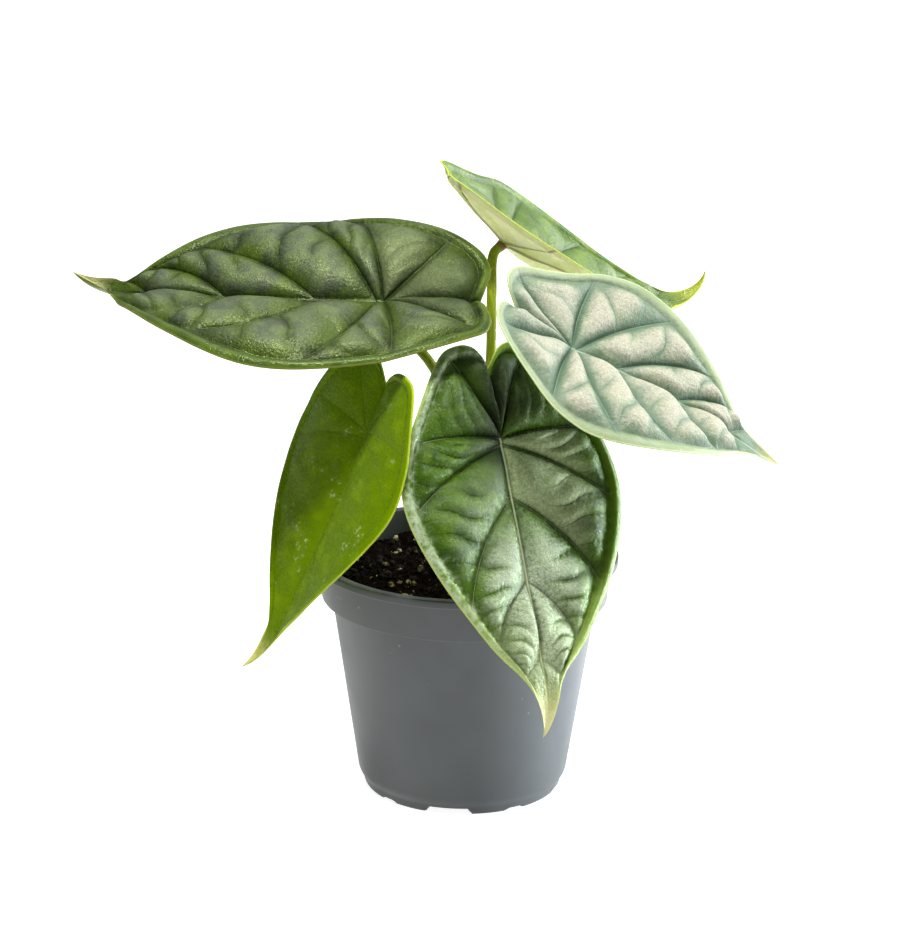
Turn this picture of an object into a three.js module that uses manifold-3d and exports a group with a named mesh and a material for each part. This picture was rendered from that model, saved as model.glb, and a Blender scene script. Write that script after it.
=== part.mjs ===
// A potted dragon scale alocasia: a young aroid with five quilted leaves in a round nursery pot.
// Millimetres and degrees, +Z up. The plant is drawn round the axis of its pot, with the ground
// at z = 0, and at the end the whole model is moved sideways so that its origin is the bottom
// centre of its own box. The front of the plant faces -Y.

import * as THREE from "three";
import { mergeVertices } from "three/addons/utils/BufferGeometryUtils.js";
import Module from "manifold-3d";

// Pot
const potHeight = 95;
const rimRadius = 60;
const wall = 1.4;
const lipHeight = 3;
const bandBottom = 77.5;
const bandRadius = 55.2;
const bandFlare = 2.4;
const bodyTopRadius = 52.8;
const bodyBottomRadius = 41;
const bodyBottom = 5.5;
const footRadius = 38.5;
const footRingWidth = 3.6;
const floorUnderside = 3.6;
const roundSteps = 48;
const notchPitch = 40;
const wideNotch = { first: -98, every: 120, width: 25, height: 2.6 };
const narrowNotchWidth = 10;
const narrowNotchHeight = 1.2;
const drainHoles = 8;
const drainRadius = 3.2;
const drainCircle = 25;

// Soil and crown
const soilTop = 85;
const soilGap = 0.4;
const soilLumpHeight = 2.2;
const soilRings = 9;
const crownRadius = 9;
const crownBottom = 70;
const crownTop = 97;
const seatGap = 0.3;
const socketCircle = 5.4;
const socketDepth = 7;

// Petioles
const petioleRadius = 2.2;
const petioleSides = 8;
const petioleSteps = 18;

// Blades
const bladeThickness = 0.8;
const ribThickness = 1.1;
const spineSteps = 60;
const tipCurlStart = 0.8;
const bladeColumns = 9;
const pillowEnd = 0.7;
const marginVein = 0.88;
const marginRoll = 0.9;
const padDip = 0.4;
const padSlant = 1.6;
const padStart = 0.2;
const pillowShape = 2.4;
const lastPillow = 0.84;
const marginWaves = 3.5;

// Half the outline of a blade, from the sinus between the lobes round to the drip tip. The first
// number is a share of the lobe's length behind the joint, or of the blade's length in front of
// it, and the second a share of the half width.
const halfOutline = [
  [-0.75, 0], [-0.96, 0.12], [-1, 0.28], [-0.87, 0.47], [-0.4, 0.72], [0.04, 0.95],
  [0.21, 1], [0.43, 0.8], [0.66, 0.44], [0.79, 0.18], [0.88, 0.095], [1, 0],
];
// How far each of these points moves along and outwards where a blade's shoulder is longer or fuller
const shoulderShift = [0, 0, 0, 0, 0, 0.6, 1, 1, 0.7, 0.3, 0, 0];
const shoulderSwell = [0, 0, 0, 0, 0, 0, 0, 0.6, 1, 0.5, 0, 0];
const lobeWidening = [0, 0.3, 0.8, 1, 0.7, 0, 0, 0, 0, 0, 0, 0];

// Main veins of a half blade, from the seam behind the joint to the tip. Each starts at a share
// of the midrib and ends at a point of the outline, counted in outline points, and bows
// backwards by a share of its length. rows is the number of mesh rows up to the next vein.
const veins = [
  { start: 0, end: 0, bow: 0, rows: 3 },
  { start: 0, end: 2.6, bow: 0.04, rows: 4 },
  { start: 0, end: 4.7, bow: 0.1, rows: 4 },
  { start: 0.02, end: 6, bow: 0.12, rows: 4 },
  { start: 0.2, end: 7.4, bow: 0.18, rows: 4 },
  { start: 0.48, end: 8.3, bow: 0.2, rows: 3 },
  { start: 0.74, end: 9.1, bow: 0.12, rows: 4 },
  { start: 1, end: 11, bow: 0, rows: 0 },
];

// Each leaf: where its blade joins its petiole, the way the midrib heads and dips there, and the
// blade's size and bends. lean makes one half wider, and the two bias values make one half fold
// or curl more than the other. sideShifts and otherShifts move the ends of the main veins along
// the outline, vein by vein, on the half to the blade's side direction and on the other half.
const leaves = [
  {
    name: "left", joint: [-32.5, -10, 198], heading: 181, dip: -1, roll: -37.5,
    length: 128, halfWidth: 48.5, lobe: 41, sinus: 0.9, arch: 30.5, sweep: -24, lobeRise: 2,
    fold: 25.5, foldBias: 1, curl: 42.5, curlBias: -20, tipCurl: -72.5, twist: 20, lean: -0.05,
    shoulder: 0.14, fullness: -0.12, lobeSwell: 0.02, quilting: 2.2, pads: 3, wave: 1.5,
    sideShifts: [0, 0, -0.25, -0.5, -0.45, -0.8, -0.4],
    otherShifts: [0, 0.9, 0.2, 0, 0.2],
    socket: 132, petiole: [[-8, 5, 130], [-12, -3, 168]],
  },
  {
    name: "right", joint: [39, -33, 187], heading: -2, dip: 23.5, roll: 25.5,
    length: 93.5, halfWidth: 42, lobe: 36.5, sinus: 0.72, arch: 20.5, sweep: 5.5, lobeRise: 48,
    fold: 10.5, foldBias: -2.5, curl: 3.5, curlBias: -14.5, tipCurl: -13, twist: -4, lean: -0.02,
    shoulder: 0, fullness: 0.06, lobeSwell: 0, quilting: 2, pads: 3, wave: 0.8,
    sideShifts: [0, 0, 0.1, 0.9, 0.6, 0.45, 0.2],
    otherShifts: [0, 0, 0, 0.4],
    socket: -12, petiole: [[13, 0, 125], [27, 0, 155], [35, -12, 175]],
  },
  {
    name: "front", joint: [12.5, -33, 151], heading: -66.5, dip: 60, roll: -10,
    length: 115.5, halfWidth: 44.5, lobe: 37, sinus: 0.75, arch: -1, sweep: -2.5, lobeRise: 7.5,
    fold: 5, foldBias: 4.5, curl: 4, curlBias: -8, tipCurl: 48, twist: 1.5, lean: 0,
    shoulder: 0.02, fullness: 0.03, lobeSwell: 0, quilting: 4, pads: 3, wave: 1,
    sideShifts: [0, 0, 0, 0.15],
    otherShifts: [0, 0, 0, 0.1, 0.25],
    socket: -84, petiole: [[2, -9, 118], [5, -17, 138]],
  },
  {
    name: "lower_left", joint: [-38, -32, 153], heading: -169.5, dip: 67.5, roll: -21,
    length: 106, halfWidth: 39.5, lobe: 27.5, sinus: 0.72, arch: 0, sweep: -5.5, lobeRise: 0.5,
    fold: 18, foldBias: -3, curl: 31, curlBias: -1.5, tipCurl: -52, twist: 7.5, lean: -0.05,
    shoulder: 0, fullness: -0.03, lobeSwell: 0.12, quilting: 0.6, pads: 3, wave: 0.6,
    sideShifts: [],
    otherShifts: [],
    socket: -156, petiole: [[-12, -6, 122], [-22, -16, 146]],
  },
  {
    name: "top", joint: [14, 26, 213], heading: 36.5, dip: 41.5, roll: 17,
    length: 114.5, halfWidth: 39.5, lobe: 45, sinus: 0.92, arch: -43, sweep: 10.5, lobeRise: 13,
    fold: 17, foldBias: 4, curl: -12, curlBias: 7, tipCurl: -92, twist: -3, lean: 0.02,
    shoulder: 0, fullness: 0.02, lobeSwell: -0.17, quilting: 2, pads: 3, wave: 0.8,
    sideShifts: [],
    otherShifts: [],
    socket: 60, petiole: [[6, 7, 130], [9, 12, 170], [9, 15, 195]],
  },
];

// Finishes
const potPlastic = { color: 0x63686a, roughness: 0.5 };
const pottingSoil = { color: 0x1e1510, roughness: 1 };
const stemGreen = { color: 0x8fa838, roughness: 0.45 };
const bladeFinishes = {
  left: { color: 0x566b48, roughness: 0.45 },
  right: { color: 0xb4c4ae, roughness: 0.5 },
  front: { color: 0x55773c, roughness: 0.42 },
  lower_left: { color: 0x8aa312, roughness: 0.35 },
  top: { color: 0x86a75c, roughness: 0.45 },
};

const wasm = await Module();
wasm.setup();

const radians = THREE.MathUtils.degToRad;
const lerp = THREE.MathUtils.lerp;
const clamp = (x) => THREE.MathUtils.clamp(x, 0, 1);
const smooth = (x) => THREE.MathUtils.smoothstep(x, 0, 1);
const random = seededRandom(7);

function seededRandom(seed) {
  let state = seed;
  return () => {
    state = (state * 1664525 + 1013904223) % 4294967296;
    return state / 4294967296;
  };
}

// Joins and cuts

function solidOf(geometry) {
  const bare = geometry.clone();
  bare.deleteAttribute("normal");
  bare.deleteAttribute("uv");
  const merged = mergeVertices(bare, 1e-4);
  return new wasm.Manifold(new wasm.Mesh({
    numProp: 3,
    vertProperties: new Float32Array(merged.attributes.position.array),
    triVerts: new Uint32Array(merged.index.array),
  }));
}

function geometryOf(solid) {
  const mesh = solid.getMesh();
  const geometry = new THREE.BufferGeometry();
  geometry.setAttribute("position", new THREE.BufferAttribute(mesh.vertProperties, 3));
  geometry.setIndex(new THREE.BufferAttribute(mesh.triVerts, 1));
  geometry.computeVertexNormals();
  return geometry;
}

// A body turned round the Z axis from a profile of [radius, height] points
function turned(profile, steps = roundSteps) {
  const points = profile.map(([radius, height]) => new THREE.Vector2(radius, height));
  return new THREE.LatheGeometry(points, steps).rotateX(Math.PI / 2);
}

function upright(radius, bottom, top, sides) {
  return turned([[0, bottom], [radius, bottom], [radius, top], [0, top]], sides);
}

// Pot

function potProfile() {
  const underBand = bandBottom - wall;
  const topBandRadius = bandRadius + bandFlare;
  return [
    [0, floorUnderside],
    [footRadius - footRingWidth, floorUnderside],
    [footRadius - footRingWidth, 0],
    [footRadius - 0.5, 0],
    [footRadius, 0.6],
    [footRadius + 0.6, bodyBottom - 1.5],
    [bodyBottomRadius, bodyBottom + 0.6],
    [bodyTopRadius, bandBottom],
    [bandRadius - 0.4, bandBottom],
    [bandRadius, bandBottom + 0.5],
    [topBandRadius, potHeight - lipHeight - 0.6],
    [rimRadius - 0.4, potHeight - lipHeight],
    [rimRadius, potHeight - lipHeight + 0.5],
    [rimRadius, potHeight - 0.6],
    [rimRadius - 0.6, potHeight],
    [topBandRadius - 0.4, potHeight],
    [topBandRadius - wall, potHeight - 0.8],
    [bandRadius - wall, bandBottom + wall],
    [bodyTopRadius - wall, underBand],
    [bodyBottomRadius - wall, bodyBottom + wall],
    [bodyBottomRadius - 2 * wall, floorUnderside + wall],
    [0, floorUnderside + wall],
  ];
}

// A block that cuts a notch into the foot ring, centred at an angle round the pot
function notchCutter(angle, width, height) {
  const depth = 3 * footRingWidth;
  const across = 2 * footRadius * Math.sin(radians(width / 2));
  const block = new THREE.BoxGeometry(depth, across, 2 * height);
  block.translate(footRadius, 0, 0);
  return block.rotateZ(radians(angle));
}

function buildPot() {
  let pot = solidOf(turned(potProfile()));
  const notches = 360 / notchPitch;
  for (let i = 0; i < notches; i++) {
    const angle = wideNotch.first + i * notchPitch;
    const wide = (i * notchPitch) % wideNotch.every === 0;
    const width = wide ? wideNotch.width : narrowNotchWidth;
    const height = wide ? wideNotch.height : narrowNotchHeight;
    pot = pot.subtract(solidOf(notchCutter(angle, width, height)));
  }
  for (let i = 0; i < drainHoles; i++) {
    const angle = (2 * Math.PI * (i + 0.5)) / drainHoles;
    const hole = upright(drainRadius, 0.5, 2 * floorUnderside + wall, 10);
    hole.translate(drainCircle * Math.cos(angle), drainCircle * Math.sin(angle), 0);
    pot = pot.subtract(solidOf(hole));
  }
  return geometryOf(pot);
}

// Crown: the short stem that all the petioles grow out of

function crownProfile() {
  return [
    [0, crownBottom],
    [crownRadius * 0.7, crownBottom],
    [crownRadius, crownBottom + 6],
    [crownRadius, soilTop + 3],
    [crownRadius * 0.94, crownTop - 3.5],
    [crownRadius * 0.75, crownTop - 0.8],
    [crownRadius * 0.45, crownTop],
    [0, crownTop],
  ];
}

// Soil: a body that follows the inside of the pot, with a lumpy top

function soilGeometry() {
  const wallProfile = [
    [bodyBottomRadius - 2 * wall - soilGap, floorUnderside + wall + soilGap],
    [bodyBottomRadius - wall - soilGap, bodyBottom + wall + 0.6],
    [bodyTopRadius - wall - soilGap, bandBottom - wall + 0.1],
    [bandRadius - wall - soilGap, bandBottom + wall + 0.6],
    [bandRadius - wall - soilGap, soilTop - 1],
  ];
  const outerRadius = bandRadius - wall - soilGap;
  const rings = [...wallProfile];
  for (let ring = 1; ring < soilRings; ring++) {
    rings.push([outerRadius * (1 - ring / soilRings), soilTop]);
  }
  const positions = [0, 0, floorUnderside + wall + soilGap];
  rings.forEach(([radius, height], ring) => {
    const lumpy = ring >= wallProfile.length;
    for (let i = 0; i < roundSteps; i++) {
      const angle = (2 * Math.PI * i) / roundSteps;
      const lump = lumpy ? soilLumpHeight * (random() ** 2 - 0.3) : 0;
      positions.push(radius * Math.cos(angle), radius * Math.sin(angle), height + lump);
    }
  });
  positions.push(0, 0, soilTop);
  const triangles = [];
  const at = (ring, i) => 1 + ring * roundSteps + (i % roundSteps);
  const last = rings.length * roundSteps + 1;
  for (let i = 0; i < roundSteps; i++) {
    triangles.push(0, at(0, i + 1), at(0, i));
    for (let ring = 0; ring < rings.length - 1; ring++) {
      triangles.push(at(ring, i), at(ring, i + 1), at(ring + 1, i + 1));
      triangles.push(at(ring, i), at(ring + 1, i + 1), at(ring + 1, i));
    }
    triangles.push(at(rings.length - 1, i), at(rings.length - 1, i + 1), last);
  }
  const geometry = new THREE.BufferGeometry();
  geometry.setAttribute("position", new THREE.Float32BufferAttribute(positions, 3));
  geometry.setIndex(triangles);
  return geometry;
}

// The crown stands in a plain hole in the soil
function buildSoil() {
  const hole = upright(crownRadius + seatGap, crownBottom - seatGap, soilTop + 10, 24);
  return geometryOf(solidOf(soilGeometry()).subtract(solidOf(hole)));
}

// Blades

// a turned towards b, where both are unit vectors at a right angle
function turnTowards(a, b, angle) {
  return a.clone().multiplyScalar(Math.cos(angle)).addScaledVector(b, Math.sin(angle));
}

// The forward, sideways and upward directions of a blade at its joint
function jointFrame(leaf) {
  const heading = radians(leaf.heading);
  const dip = radians(leaf.dip);
  const roll = radians(leaf.roll);
  const level = new THREE.Vector3(Math.cos(heading), Math.sin(heading), 0);
  const along = turnTowards(level, new THREE.Vector3(0, 0, -1), dip);
  const across = new THREE.Vector3(-Math.sin(heading), Math.cos(heading), 0);
  const up = along.clone().cross(across);
  return {
    along,
    side: turnTowards(across, up, roll),
    up: turnTowards(up, across, -roll),
  };
}

// Stations along one arm of the midrib, each with its place and its side and up directions
function spineArm(leaf, way, length, bends) {
  const frame = jointFrame(leaf);
  const ahead = frame.along.clone().multiplyScalar(way);
  const stations = [];
  const place = new THREE.Vector3(...leaf.joint);
  let before = ahead;
  for (let i = 0; i <= spineSteps; i++) {
    const share = i / spineSteps;
    const curled = Math.max(0, (share - tipCurlStart) / (1 - tipCurlStart)) ** 1.5;
    const arch = -radians(bends.arch * share + bends.tipCurl * curled);
    const sweep = radians(bends.sweep * share);
    const twist = radians(bends.twist * share);
    const level = turnTowards(ahead, frame.up, arch);
    const up = turnTowards(frame.up, ahead, -arch);
    const along = turnTowards(level, frame.side, sweep);
    const side = turnTowards(frame.side, level, -sweep);
    if (i > 0) place.addScaledVector(before.clone().add(along), length / spineSteps / 2);
    before = along;
    stations.push({
      s: way * share * length,
      place: place.clone(),
      side: turnTowards(side, up, twist),
      up: turnTowards(up, side, -twist),
    });
  }
  return stations;
}

function bladeSpine(leaf) {
  const front = spineArm(leaf, 1, leaf.length, leaf);
  const straight = { arch: -leaf.lobeRise, tipCurl: 0, sweep: 0, twist: 0 };
  const back = spineArm(leaf, -1, leaf.lobe * 1.3, straight);
  return [...back.reverse(), ...front.slice(1)];
}

function stationAt(spine, s) {
  let i = 1;
  while (i < spine.length - 1 && spine[i].s < s) i++;
  const a = spine[i - 1];
  const b = spine[i];
  const share = (s - a.s) / (b.s - a.s);
  return {
    place: a.place.clone().lerp(b.place, share),
    side: a.side.clone().lerp(b.side, share),
    up: a.up.clone().lerp(b.up, share),
  };
}

// The point of a blade at s along the midrib and w to its side, measured over the surface.
// Each half rises from the midrib at the fold angle and then curls over in an arc.
function pointOnBlade(leaf, spine, s, w) {
  const station = stationAt(spine, s);
  const way = Math.sign(w);
  const fold = radians(leaf.fold + way * leaf.foldBias);
  const curl = radians(leaf.curl + way * leaf.curlBias) || 1e-3;
  const share = Math.abs(w) / leaf.halfWidth;
  const outwards = (leaf.halfWidth * (Math.sin(fold) - Math.sin(fold - curl * share))) / curl;
  const upwards = (leaf.halfWidth * (Math.cos(fold - curl * share) - Math.cos(fold))) / curl;
  return station.place.addScaledVector(station.side, way * outwards)
    .addScaledVector(station.up, upwards);
}

function outlineCurve(leaf) {
  const points = halfOutline.map(([along, out], i) => {
    const ahead = (i === 0 ? -leaf.sinus : along) + leaf.shoulder * shoulderShift[i];
    const wide = out + leaf.fullness * shoulderSwell[i] + leaf.lobeSwell * lobeWidening[i];
    return new THREE.Vector2(ahead * (ahead < 0 ? leaf.lobe : leaf.length), wide * leaf.halfWidth);
  });
  return new THREE.SplineCurve(points);
}

// A flat point of the half blade: share 0 is on the midrib and share 1 on the outline, along the
// line that lies a share of the way from one main vein to the next
function flatPoint(leaf, curve, row, share) {
  const { start, end, bow } = row;
  const to = curve.getPoint(end / (halfOutline.length - 1));
  to.y = Math.max(0, to.y);
  const from = new THREE.Vector2(start * leaf.length, 0);
  const chord = to.clone().sub(from);
  const middle = from.clone().addScaledVector(chord, 0.5);
  middle.add(new THREE.Vector2(-chord.y, chord.x).multiplyScalar(bow));
  return new THREE.QuadraticBezierCurve(from, middle, to).getPoint(share);
}

// Rows of the mesh of half a blade, four or so between each vein and the next
function bladeRows(leaf, way) {
  const shifts = way > 0 ? leaf.sideShifts : leaf.otherShifts;
  const endOf = (k) => veins[k].end + (shifts[k] ?? 0);
  const rows = [];
  for (let k = 0; k < veins.length - 1; k++) {
    for (let i = 0; i < veins[k].rows; i++) {
      const between = i / veins[k].rows;
      rows.push({
        between,
        fan: veins[k + 1].start < 0.1,
        start: lerp(veins[k].start, veins[k + 1].start, between),
        end: lerp(endOf(k), endOf(k + 1), between),
        bow: lerp(veins[k].bow, veins[k + 1].bow, between),
      });
    }
  }
  return rows;
}

// Height of the quilting over a row at a share of its length: pillows between sunken veins, cut
// by lesser furrows, a smooth rolled band outside the vein that follows the margin, and waves
// that grow towards the margin
function quiltHeight(leaf, row, share) {
  const rise = 1 - (1 - clamp(share / (row.fan ? 0.4 : 0.2))) ** 2;
  const fall = 1 - clamp((share - pillowEnd) / (marginVein - pillowEnd)) ** 2;
  const pillow = 1 - Math.abs(2 * row.between - 1) ** pillowShape;
  const pads = leaf.pads * share - padSlant * (1 - row.between);
  const furrow = (1 - Math.abs(Math.sin(Math.PI * pads))) * smooth((share - padStart) / 0.3);
  const taper = smooth((lastPillow - row.start) / 0.2);
  const band = Math.max(0, (share - marginVein) / (1 - marginVein));
  const round = row.end / (halfOutline.length - 1);
  const wave = leaf.wave * share ** 3 * Math.sin(2 * Math.PI * marginWaves * round);
  const unrolled = smooth(row.end / 0.6);
  return leaf.quilting * taper * rise * fall * pillow * (1 - padDip * furrow)
    + marginRoll * taper * unrolled * Math.sin(Math.PI * band) + wave;
}

// The underside is the upper side moved in by the blade's thickness, with ribs under the veins
function thicknessAt(leaf, row, share) {
  const alongMidrib = 1 - row.start;
  const rib = share === 0 ? alongMidrib : row.between === 0 ? 0.4 * (1 - share) : 0;
  return bladeThickness + ribThickness * rib;
}

function buildBlade(leaf) {
  const spine = bladeSpine(leaf);
  const curve = outlineCurve(leaf);
  const rowsOf = { 1: bladeRows(leaf, 1), [-1]: bladeRows(leaf, -1) };
  const [seam] = rowsOf[1];
  const tip = { between: 0, fan: false, start: 1, end: halfOutline.length - 1, bow: 0 };
  const points = [];
  const heights = [];
  const depths = [];
  const add = (row, share, way) => {
    const flat = flatPoint(leaf, curve, row, share);
    points.push(pointOnBlade(leaf, spine, flat.x, way * flat.y * (1 + way * leaf.lean)));
    heights.push(way === 0 ? 0 : quiltHeight(leaf, row, share));
    depths.push(thicknessAt(leaf, row, share));
    return points.length - 1;
  };
  const joint = add(seam, 0, 0);
  const seamLine = [joint];
  for (let j = 1; j <= bladeColumns; j++) seamLine.push(add(seam, j / bladeColumns, 0));
  const midline = rowsOf[1].map((row) => (row.start > 0 ? add(row, 0, 0) : joint));
  const tipPoint = add(tip, 0, 0);
  const top = [];
  const margins = [];
  for (const way of [1, -1]) {
    const grid = rowsOf[way].map((row, i) => {
      if (i === 0) return seamLine;
      const line = [midline[i]];
      for (let j = 1; j <= bladeColumns; j++) line.push(add(row, j / bladeColumns, way));
      return line;
    });
    grid.push(new Array(bladeColumns + 1).fill(tipPoint));
    const push = (a, b, c) => {
      if (a !== b && b !== c && c !== a) top.push(...(way > 0 ? [a, c, b] : [a, b, c]));
    };
    for (let i = 0; i < grid.length - 1; i++) {
      for (let j = 0; j < bladeColumns; j++) {
        const [a, b, c, d] = [grid[i][j], grid[i][j + 1], grid[i + 1][j + 1], grid[i + 1][j]];
        if (points[a].distanceTo(points[c]) < points[b].distanceTo(points[d])) {
          push(a, b, c);
          push(a, c, d);
        } else {
          push(a, b, d);
          push(b, c, d);
        }
      }
    }
    const margin = grid.map((line) => line[bladeColumns]);
    margins.push(way > 0 ? margin : margin.reverse());
  }
  return closedBlade(points, heights, depths, top, margins);
}

// Raises the upper side by the quilting, moves a copy of it in for the underside and joins the
// two along the margins. Both sides have the same triangles, so they can't cross.
function closedBlade(points, heights, depths, top, margins) {
  const count = points.length;
  const raise = (from, by) => {
    const surface = new THREE.BufferGeometry();
    surface.setAttribute("position", new THREE.BufferAttribute(new Float32Array(
      from.flatMap((p) => p.toArray()),
    ), 3));
    surface.setIndex(top);
    surface.computeVertexNormals();
    const normals = surface.attributes.normal;
    return from.map((p, i) => p.clone()
      .addScaledVector(new THREE.Vector3().fromBufferAttribute(normals, i), by(i)));
  };
  const upper = raise(points, (i) => heights[i]);
  const lower = raise(upper, (i) => -depths[i]);
  const triangles = [...top];
  for (let i = 0; i < top.length; i += 3) {
    triangles.push(count + top[i], count + top[i + 2], count + top[i + 1]);
  }
  for (const margin of margins) {
    for (let i = 0; i < margin.length - 1; i++) {
      const [a, b] = [margin[i], margin[i + 1]];
      triangles.push(a, b, count + b, a, count + b, count + a);
    }
  }
  const blade = new THREE.BufferGeometry();
  blade.setAttribute("position", new THREE.BufferAttribute(new Float32Array(
    [...upper, ...lower].flatMap((p) => p.toArray()),
  ), 3));
  blade.setIndex(triangles);
  blade.computeVertexNormals();
  return blade;
}

// Petioles

// The route of a petiole, from its socket in the crown to just under the joint of its blade
function petioleRoute(leaf) {
  const angle = radians(leaf.socket);
  const foot = new THREE.Vector3(
    socketCircle * Math.cos(angle), socketCircle * Math.sin(angle), crownTop - socketDepth,
  );
  const out = new THREE.Vector3(Math.cos(angle), Math.sin(angle), 0);
  const leaving = foot.clone().addScaledVector(out, 0.8).setZ(crownTop + 1);
  const { up } = jointFrame(leaf);
  const joint = new THREE.Vector3(...leaf.joint);
  const head = joint.clone().addScaledVector(up, -(bladeThickness + ribThickness + seatGap));
  const neck = head.clone().addScaledVector(up, -4);
  return [foot, leaving, ...leaf.petiole.map((p) => new THREE.Vector3(...p)), neck, head];
}

function tubeAlong(points, radius, steps) {
  const circle = new THREE.Shape();
  circle.absarc(0, 0, radius, 0, 2 * Math.PI);
  return new THREE.ExtrudeGeometry(circle, {
    curveSegments: petioleSides / 2,
    steps,
    extrudePath: new THREE.CatmullRomCurve3(points, false, "centripetal"),
  });
}

function buildPetiole(leaf) {
  return geometryOf(solidOf(tubeAlong(petioleRoute(leaf), petioleRadius, petioleSteps)));
}

// The crown with a socket for the foot of each petiole
function buildCrown() {
  let crown = solidOf(turned(crownProfile(), 24));
  for (const leaf of leaves) {
    const [foot, leaving] = petioleRoute(leaf);
    const below = foot.clone().setZ(foot.z - seatGap);
    const above = leaving.clone().lerp(foot, -0.6);
    const route = [below, foot, leaving, above];
    crown = crown.subtract(solidOf(tubeAlong(route, petioleRadius + 2 * seatGap, 6)));
  }
  return geometryOf(crown);
}

function addPiece(group, name, geometry, finish) {
  const mesh = new THREE.Mesh(geometry, new THREE.MeshStandardMaterial({ metalness: 0, ...finish }));
  mesh.name = name;
  group.add(mesh);
}

const plant = new THREE.Group();
addPiece(plant, "pot", buildPot(), potPlastic);
addPiece(plant, "soil", buildSoil(), pottingSoil);
addPiece(plant, "crown", buildCrown(), stemGreen);
for (const leaf of leaves) {
  addPiece(plant, `petiole_${leaf.name}`, buildPetiole(leaf), stemGreen);
  addPiece(plant, `blade_${leaf.name}`, buildBlade(leaf), bladeFinishes[leaf.name]);
}

const box = new THREE.Box3().setFromObject(plant);
const centre = box.getCenter(new THREE.Vector3());
plant.position.set(-centre.x, -centre.y, -box.min.z);

export default plant;
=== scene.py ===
"""Dresses the packed potted dragon scale alocasia: finer blades, petioles, crown, soil and pot.

The plant keeps the places and forms of its solids. Leaf plans are in millimetres and degrees, as in
the solids' own source, and everything in Blender is in metres in the same frame.
"""

import functools
import math
import random
from types import SimpleNamespace

import bmesh
import bpy
import numpy as np
from bpy.props import FloatProperty, FloatVectorProperty, IntProperty, PointerProperty
from bpy.types import Operator, Panel, PropertyGroup
from mathutils import Matrix, Vector, noise


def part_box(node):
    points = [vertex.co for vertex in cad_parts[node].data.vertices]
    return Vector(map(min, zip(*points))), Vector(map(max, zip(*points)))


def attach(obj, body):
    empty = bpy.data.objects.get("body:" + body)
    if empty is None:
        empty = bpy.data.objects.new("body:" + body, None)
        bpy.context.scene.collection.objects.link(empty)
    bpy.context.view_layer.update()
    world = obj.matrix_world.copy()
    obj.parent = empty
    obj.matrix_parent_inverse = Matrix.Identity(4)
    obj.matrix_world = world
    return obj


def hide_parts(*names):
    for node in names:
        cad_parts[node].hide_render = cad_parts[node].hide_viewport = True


bl_info = {
    "name": "Potted dragon scale alocasia",
    "version": (1, 0, 0),
    "blender": (4, 5, 0),
    "location": "3D View > Sidebar > Alocasia",
    "description": "Builds the leaves, soil and pot of a potted dragon scale alocasia",
    "category": "Add Mesh",
}

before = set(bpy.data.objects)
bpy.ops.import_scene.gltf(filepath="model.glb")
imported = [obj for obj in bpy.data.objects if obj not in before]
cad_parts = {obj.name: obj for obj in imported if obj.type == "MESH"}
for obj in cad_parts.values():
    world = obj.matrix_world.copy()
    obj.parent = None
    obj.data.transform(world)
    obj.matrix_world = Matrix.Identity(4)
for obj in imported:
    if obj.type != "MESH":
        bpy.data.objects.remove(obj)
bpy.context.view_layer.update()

MM = 0.001
BODY = "root"
pot_low, pot_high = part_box("pot")
POT_AXIS = (pot_low + pot_high) / 2
POT_AXIS.z = 0.0

# Pot, in millimetres
POT_HEIGHT = 95
RIM_RADIUS = 60
WALL = 1.4
LIP_HEIGHT = 3
BAND_BOTTOM = 77.5
BAND_RADIUS = 56
BAND_FLARE = 1.6
BODY_TOP_RADIUS = 52
BODY_BOTTOM_RADIUS = 41
BODY_BOTTOM = 5.5
FOOT_RADIUS = 38.5
FOOT_RING_WIDTH = 3.6
FLOOR_UNDERSIDE = 3.6
NOTCH_PITCH = 40
WIDE_NOTCH_FIRST = -98
WIDE_NOTCH_EVERY = 120
WIDE_NOTCH = (25, 2.6)
NARROW_NOTCH = (10, 1.2)
DRAIN_HOLES = 8
DRAIN_RADIUS = 3.2
DRAIN_CIRCLE = 25
DRILL_MIDDLE = 4
DRILL_DEPTH = 6
DRILL_SIDES = 32

# Soil, in millimetres
SOIL_TOP = 85
SOIL_GAP = 0.4
SOIL_SEED = 11
COARSE_LUMP = 11
FINE_LUMP = 2.6
GRAIN_TILT = 0.6

# Loose grains: smallest and largest size, flatness, and rise as a share of the size
GRAINS = {
    "crumbs": (0.7, 2.6, 0.8, 0.12),
    "bark": (1.2, 5, 0.35, 0.12),
    "perlite": (0.9, 4.2, 0.8, 0.25),
}

# Crown and petioles, in millimetres
CROWN_RADIUS = 9
CROWN_BOTTOM = 70
CROWN_TOP = 97
SEAT_GAP = 0.3
SOCKET_CIRCLE = 5.4
SOCKET_DEPTH = 7
CROWN_SIDES = 72
SHEATH_SCARS = 5
SCAR_DEPTH = 0.35
PETIOLE_RADIUS = 2.2
PETIOLE_TAPER = 0.12
PETIOLE_SIDES = 28

# Blades: thicknesses, widths, sizes and fades, in millimetres
BLADE_THICKNESS = 0.8
RIB_THICKNESS = 1.1
PAD_WOBBLE_SIZE = 11
# Painted shade in the fold behind the joint: its width across the midrib and its fade ahead of the joint
CHANNEL_SHADE_WIDTH = 11
CHANNEL_SHADE_FADE = 16
# Fade of the painted sheen off the veins
SHEEN_FADE = 1.5
RIPPLE_SIZE = 9
RIPPLE_FADE = 3
GROOVE_WIDTH = 0.55
MIDRIB_GROOVE_WIDTH = 0.7
SIDE_RIB_WIDTH = 0.8
MIDRIB_WIDTH = 1.3
EDGE_WIDTH = 2.5
FAR_OFF = 99

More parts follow.
